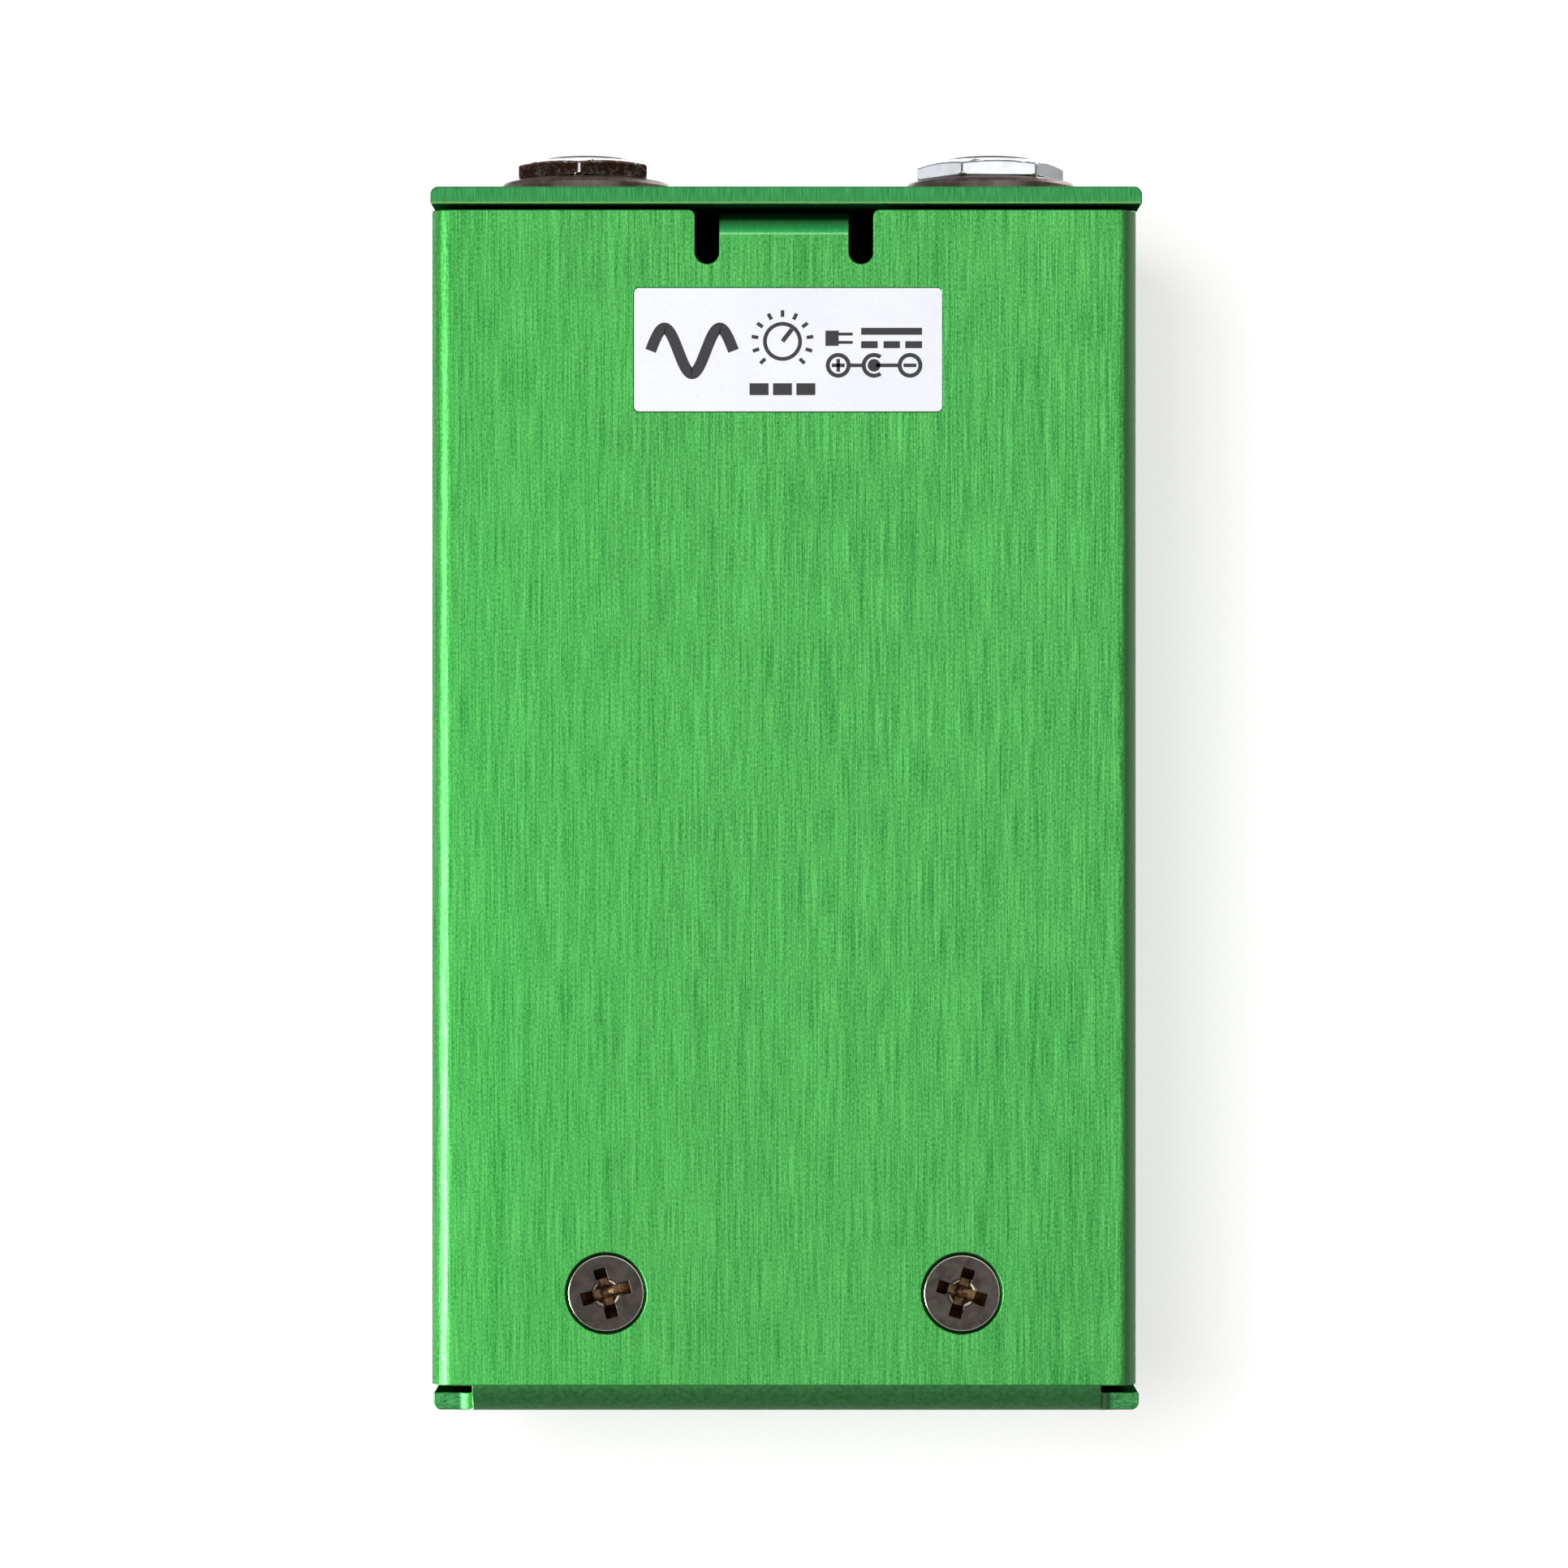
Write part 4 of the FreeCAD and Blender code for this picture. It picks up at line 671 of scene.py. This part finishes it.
def printed(name, ribbons, place, ink):
    """One thin raised piece made of ribbons, put in place by a function from (u, v, depth) to a point."""
    mesh = bmesh.new()
    for pairs in ribbons:
        rows = []
        for low, high in pairs:
            corners = [(low, -PRINT_ROOT), (high, -PRINT_ROOT), (high, PRINT_DEPTH), (low, PRINT_DEPTH)]
            rows.append([mesh.verts.new(place(*spot, depth)) for spot, depth in corners])
        for first, second in zip(rows, rows[1:]):
            for side in range(4):
                after = (side + 1) % 4
                mesh.faces.new((first[side], first[after], second[after], second[side]))
        mesh.faces.new(rows[0])
        mesh.faces.new(reversed(rows[-1]))
    bmesh.ops.recalc_face_normals(mesh, faces=mesh.faces)
    data = bpy.data.meshes.new(name)
    mesh.to_mesh(data)
    mesh.free()
    piece = bpy.data.objects.new(name, data)
    bpy.context.scene.collection.objects.link(piece)
    data.materials.append(ink)
    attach(piece, "enclosure")
    return piece


def wave_mark():
    """Bold wave at the left of the label."""
    return [wave(-12.35, -4.9, -0.1, 2.05, 1.0, 1.5)]


def ticks(centre, near, reaches, width, first_angle, step_angle):
    """Radial strokes round a centre, clockwise from the top, one for each reach."""
    strokes = []
    for tick, reach in enumerate(reaches):
        angle = math.radians(first_angle + step_angle * tick)
        way = Vector((math.sin(angle), math.cos(angle)))
        strokes.append(slanted_bar(Vector(centre) + way * near, Vector(centre) + way * (near + reach), width))
    return strokes


def dial_mark():
    """Dial with a pointer and ticks, over a row of level blocks."""
    centre = (-0.5, 0.75)
    ribbons = [arc(centre, 1.75, 0.34), slanted_bar(centre, (0.35, 1.85), 0.4)]
    ribbons += ticks(centre, 2.2, [0.6] * 11, 0.32, -135, 27)
    ribbons += [bar(low, high, -4.08, -3.01) for low, high in ((-3.46, -1.75), (-1.35, 0.35), (0.75, 2.45))]
    return ribbons


def supply_mark():
    """Plug, direct-current sign and the polarity of the power socket."""
    ribbons = [bar(3.36, 4.55, 0.35, 1.72), bar(4.55, 5.81, 1.28, 1.54), bar(4.55, 5.81, 0.53, 0.79)]
    ribbons.append(bar(6.57, 12.04, 1.34, 1.97))
    ribbons += [bar(low, high, 0.14, 0.77) for low, high in ((6.57, 8.06), (8.58, 10.06), (10.53, 12.04))]
    plus, core, minus, level = 4.51, 7.73, 10.96, -1.4
    outer, line, half_stroke, half_line = 1.11, 0.36, 0.575, 0.16
    for centre in (plus, minus):
        ribbons.append(arc((centre, level), outer, line))
        ribbons.append(bar(centre - half_stroke, centre + half_stroke, level - half_line, level + half_line))
    ribbons.append(bar(plus - half_line, plus + half_line, level - half_stroke, level + half_stroke))
    ribbons.append(arc((core, level), outer, line, 52, 308))
    ribbons.append(dot((core, level), 0.57))
    for low, high in ((5.6, 6.64), (7.9, 9.88)):
        ribbons.append(bar(low, high, level - half_line, level + half_line))
    return ribbons


def print_label():
    """The label's marks, on its outer face, read from below."""
    low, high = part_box("spec_label")
    centre = (low + high) / 2

    def place(u, v, depth):
        return (centre.x - u * MM, centre.y + v * MM, low.z - depth)

    for name, ribbons in (("wave", wave_mark()), ("dial", dial_mark()), ("supply", supply_mark())):
        printed(f"label_{name}_mark", ribbons, place, LABEL_INK)


def print_dials():
    """Ticks round each knob, on the cover's top, with longer ones at the ends and in the middle."""
    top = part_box("cover")[1].z
    for side in ("left", "centre", "right"):
        low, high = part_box(f"{side}_pot_shaft")
        centre = (low + high) / 2
        radius = (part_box(f"{side}_knob")[1].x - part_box(f"{side}_knob")[0].x) / 2 / MM
        reaches = [1.5 if tick % 5 == 0 else 0.9 for tick in range(11)]
        ribbons = ticks((0, 0), radius + 0.7, reaches, 0.34, -150, 30)

        def place(u, v, depth, centre=centre):
            return (centre.x + u * MM, centre.y + v * MM, top + depth)

        printed(f"{side}_dial_marks", ribbons, place, DIAL_INK)


# ------------------------------------------------------------------ footswitch spring

def coil_spring():
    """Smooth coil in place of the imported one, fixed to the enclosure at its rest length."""
    low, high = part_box("footswitch_spring")
    centre = (low + high) / 2
    wire, turns, per_turn, around = 0.4 * MM, 5, 48, 14
    radius = (high.x - low.x) / 2 - wire
    rise = high.z - low.z - 2 * wire
    mesh = bmesh.new()
    rings = []
    for step in range(turns * per_turn + 1):
        angle = 2 * math.pi * step / per_turn
        out = Vector((math.cos(angle), math.sin(angle), 0))
        middle = Vector((centre.x, centre.y, low.z + wire + rise * step / (turns * per_turn))) + out * radius
        ring = []
        for side in range(around):
            turn = 2 * math.pi * side / around
            way = out * math.cos(turn) + Vector((0, 0, math.sin(turn)))
            ring.append(mesh.verts.new(middle + way * wire))
        rings.append(ring)
    for first, second in zip(rings, rings[1:]):
        for side in range(around):
            after = (side + 1) % around
            mesh.faces.new((first[side], first[after], second[after], second[side])).smooth = True
    mesh.faces.new(rings[0])
    mesh.faces.new(reversed(rings[-1]))
    bmesh.ops.recalc_face_normals(mesh, faces=mesh.faces)
    data = bpy.data.meshes.new("coil_spring")
    mesh.to_mesh(data)
    mesh.free()
    coil = bpy.data.objects.new("coil_spring", data)
    bpy.context.scene.collection.objects.link(coil)
    data.materials.append(FINISHES["zinc_plate"])
    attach(coil, "enclosure")
    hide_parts("footswitch_spring")
    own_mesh(coil)


# ------------------------------------------------------------------ stage, lights, camera

# Brightness of the surroundings from straight down (0) over the horizon (0.5) to straight up (1).
SKY_LEFT = [(0.0, 0.5), (1.0, 0.6), (0.09, 0.40), (0.17, 0.07), (0.30, 0.05),
            (0.46, 0.30), (0.56, 1.0), (0.85, 0.7)]
SKY_RIGHT = [(0.0, 0.5), (1.0, 0.6), (0.09, 0.40), (0.17, 0.07), (0.30, 0.07), (0.40, 0.34), (0.60, 0.40),
             (0.82, 0.42)]
SKY_FRONT = 0.24
SKY_REAR = 0.36


def stage_finish(name, white, glow, visible_from_below):
    """Pale surface that shows on one side only; the other side is clear."""
    material = bpy.data.materials.new(name)
    material.use_nodes = True
    tree = material.node_tree
    tree.nodes.clear()
    output = tree.nodes.new("ShaderNodeOutputMaterial")
    place = tree.nodes.new("ShaderNodeTexCoord")
    tooth = tree.nodes.new("ShaderNodeTexNoise")
    tooth.inputs["Scale"].default_value = 420
    tooth.inputs["Detail"].default_value = 4
    tree.links.new(place.outputs["Object"], tooth.inputs["Vector"])
    bump = tree.nodes.new("ShaderNodeBump")
    bump.inputs["Strength"].default_value = 0.35
    bump.inputs["Distance"].default_value = 0.25 * MM
    tree.links.new(tooth.outputs["Fac"], bump.inputs["Height"])
    paper = tree.nodes.new("ShaderNodeBsdfDiffuse")
    paper.inputs["Color"].default_value = (white, white, white * 0.995, 1)
    tree.links.new(bump.outputs["Normal"], paper.inputs["Normal"])
    light = tree.nodes.new("ShaderNodeEmission")
    light.inputs["Color"].default_value = (1.0, 0.98, 0.985, 1)
    light.inputs["Strength"].default_value = glow
    lit = tree.nodes.new("ShaderNodeAddShader")
    tree.links.new(paper.outputs[0], lit.inputs[0])
    tree.links.new(light.outputs[0], lit.inputs[1])
    clear = tree.nodes.new("ShaderNodeBsdfTransparent")
    side = tree.nodes.new("ShaderNodeMixShader")
    tree.links.new(tree.nodes.new("ShaderNodeNewGeometry").outputs["Backfacing"], side.inputs[0])
    tree.links.new((clear if visible_from_below else lit).outputs[0], side.inputs[1])
    tree.links.new((lit if visible_from_below else clear).outputs[0], side.inputs[2])
    tree.links.new(side.outputs[0], output.inputs["Surface"])
    return material


def stage_sheet(name, height, material):
    """Large flat sheet that takes shadows but casts none, and that reflections pass by."""
    mesh = bmesh.new()
    bmesh.ops.create_grid(mesh, x_segments=1, y_segments=1, size=STAGE_HALF)
    data = bpy.data.meshes.new(name)
    mesh.to_mesh(data)
    mesh.free()
    sheet = bpy.data.objects.new(name, data)
    sheet.location.z = height
    data.materials.append(material)
    bpy.context.scene.collection.objects.link(sheet)
    sheet.visible_diffuse = False
    sheet.visible_glossy = False
    sheet.visible_transmission = False
    sheet.visible_shadow = False
    return sheet


def lit_by(name, sheet, state):
    """Collection that makes a light reach only this sheet, or everything but it."""
    receivers = bpy.data.collections.new(name)
    receivers.objects.link(sheet)
    receivers.collection_objects[0].light_linking.link_state = state
    return receivers


def softbox(name, place, size, power, receivers=None):
    """Rectangular studio light, aimed at the middle of the pedal, that no camera sees."""
    data = bpy.data.lights.new(name, "AREA")
    data.shape = "RECTANGLE"
    data.size, data.size_y = size
    data.energy = power
    lamp = bpy.data.objects.new(name, data)
    lamp.location = place
    lamp.rotation_mode = "QUATERNION"
    lamp.rotation_quaternion = (Vector(LIGHT_AIM) - Vector(place)).to_track_quat("-Z", "Y")
    lamp.visible_camera = False
    if receivers is not None:
        lamp.light_linking.receiver_collection = receivers
    bpy.context.scene.collection.objects.link(lamp)


def studio():
    """Stage sheets, the lights under and over the pedal, and the pale surroundings."""
    stage_sheet("floor", -FLOOR_GAP, stage_finish("floor paper", 0.80, 0.12, False))
    paper = stage_finish("backdrop paper", 0.36, 0.665, True)
    backdrop = stage_sheet("backdrop", cad_box[1].z + FLOOR_GAP, paper)
    paper_only = lit_by("paper only", backdrop, "INCLUDE")
    pedal_only = lit_by("all but the paper", backdrop, "EXCLUDE")
    softbox("paper_key", (0.22, 0.10, -1.10), (0.33, 0.33), 13, paper_only)
    softbox("under_soft", (-0.22, 0.14, -0.95), (0.80, 0.80), 1.5, pedal_only)
    softbox("under_key", (0.55, -0.15, -0.55), (0.30, 0.42), 5.2, pedal_only)
    softbox("under_low", (0.70, -0.38, -0.20), (0.26, 0.26), 2.4, pedal_only)
    softbox("over_soft", (0.0, 0.1, 0.95), (0.9, 0.9), 6)
    softbox("over_key", (0.55, -0.55, 0.55), (0.35, 0.35), 4)
    softbox("over_rim", (-0.6, 0.5, 0.4), (0.3, 0.5), 2.5)
    surroundings()


def surroundings():
    """World light: dim below, brighter above, and plain pale where the camera looks past the stage."""
    world = bpy.data.worlds.new("studio")
    bpy.context.scene.world = world
    world.use_nodes = True
    tree = world.node_tree
    tree.nodes.clear()
    output = tree.nodes.new("ShaderNodeOutputWorld")
    place = tree.nodes.new("ShaderNodeTexCoord")
    axes = tree.nodes.new("ShaderNodeSeparateXYZ")
    tree.links.new(place.outputs["Generated"], axes.inputs[0])
    height = tree.nodes.new("ShaderNodeMapRange")
    height.inputs["From Min"].default_value = -1.0
    tree.links.new(axes.outputs["Z"], height.inputs["Value"])
    ramps = []
    for stops in (SKY_LEFT, SKY_RIGHT):
        ramp = tree.nodes.new("ShaderNodeValToRGB")
        tree.links.new(height.outputs["Result"], ramp.inputs["Fac"])
        for spot, (position, level) in enumerate(stops):
            stop = ramp.color_ramp.elements[spot] if spot < 2 else ramp.color_ramp.elements.new(position)
            stop.position = position
            stop.color = (level, level, level, 1)
        ramps.append(ramp)
    side = tree.nodes.new("ShaderNodeMapRange")
    side.inputs["From Min"].default_value = -0.25
    side.inputs["From Max"].default_value = 0.25
    tree.links.new(axes.outputs["X"], side.inputs["Value"])
    both = tree.nodes.new("ShaderNodeMix")
    both.data_type = "RGBA"
    tree.links.new(side.outputs["Result"], both.inputs[0])
    tree.links.new(ramps[1].outputs["Color"], both.inputs[6])
    tree.links.new(ramps[0].outputs["Color"], both.inputs[7])
    sky = both.outputs[2]
    for low, high, level in ((-0.15, -0.45, SKY_FRONT), (0.15, 0.5, SKY_REAR)):
        share = tree.nodes.new("ShaderNodeMapRange")
        share.inputs["From Min"].default_value = low
        share.inputs["From Max"].default_value = high
        tree.links.new(axes.outputs["Y"], share.inputs["Value"])
        plain = tree.nodes.new("ShaderNodeMix")
        plain.data_type = "RGBA"
        tree.links.new(share.outputs["Result"], plain.inputs[0])
        tree.links.new(sky, plain.inputs[6])
        plain.inputs[7].default_value = (level, level, level, 1)
        sky = plain.outputs[2]
    ambient = tree.nodes.new("ShaderNodeBackground")
    tree.links.new(sky, ambient.inputs["Color"])
    wall = tree.nodes.new("ShaderNodeBackground")
    wall.inputs["Color"].default_value = (0.86, 0.86, 0.855, 1)
    seen = tree.nodes.new("ShaderNodeMixShader")
    tree.links.new(tree.nodes.new("ShaderNodeLightPath").outputs["Is Camera Ray"], seen.inputs[0])
    tree.links.new(ambient.outputs[0], seen.inputs[1])
    tree.links.new(wall.outputs[0], seen.inputs[2])
    tree.links.new(seen.outputs[0], output.inputs["Surface"])


def camera():
    """Camera under the pedal, looking straight up at the base with the jacks at the top of the picture."""
    data = bpy.data.cameras.new("camera")
    data.sensor_width = SENSOR
    data.lens = SENSOR * CAMERA_DISTANCE / VIEW_WIDTH
    data.clip_start = 0.01
    eye = bpy.data.objects.new("camera", data)
    eye.location = (0, CAMERA_RISE, -CAMERA_DISTANCE)
    eye.rotation_euler = (0, math.pi, 0)
    bpy.context.scene.collection.objects.link(eye)
    bpy.context.scene.camera = eye
    bpy.context.scene.view_settings.view_transform = "Standard"


camera()
finish_nodes()
soften_edges()
print_label()
print_dials()
coil_spring()
studio()
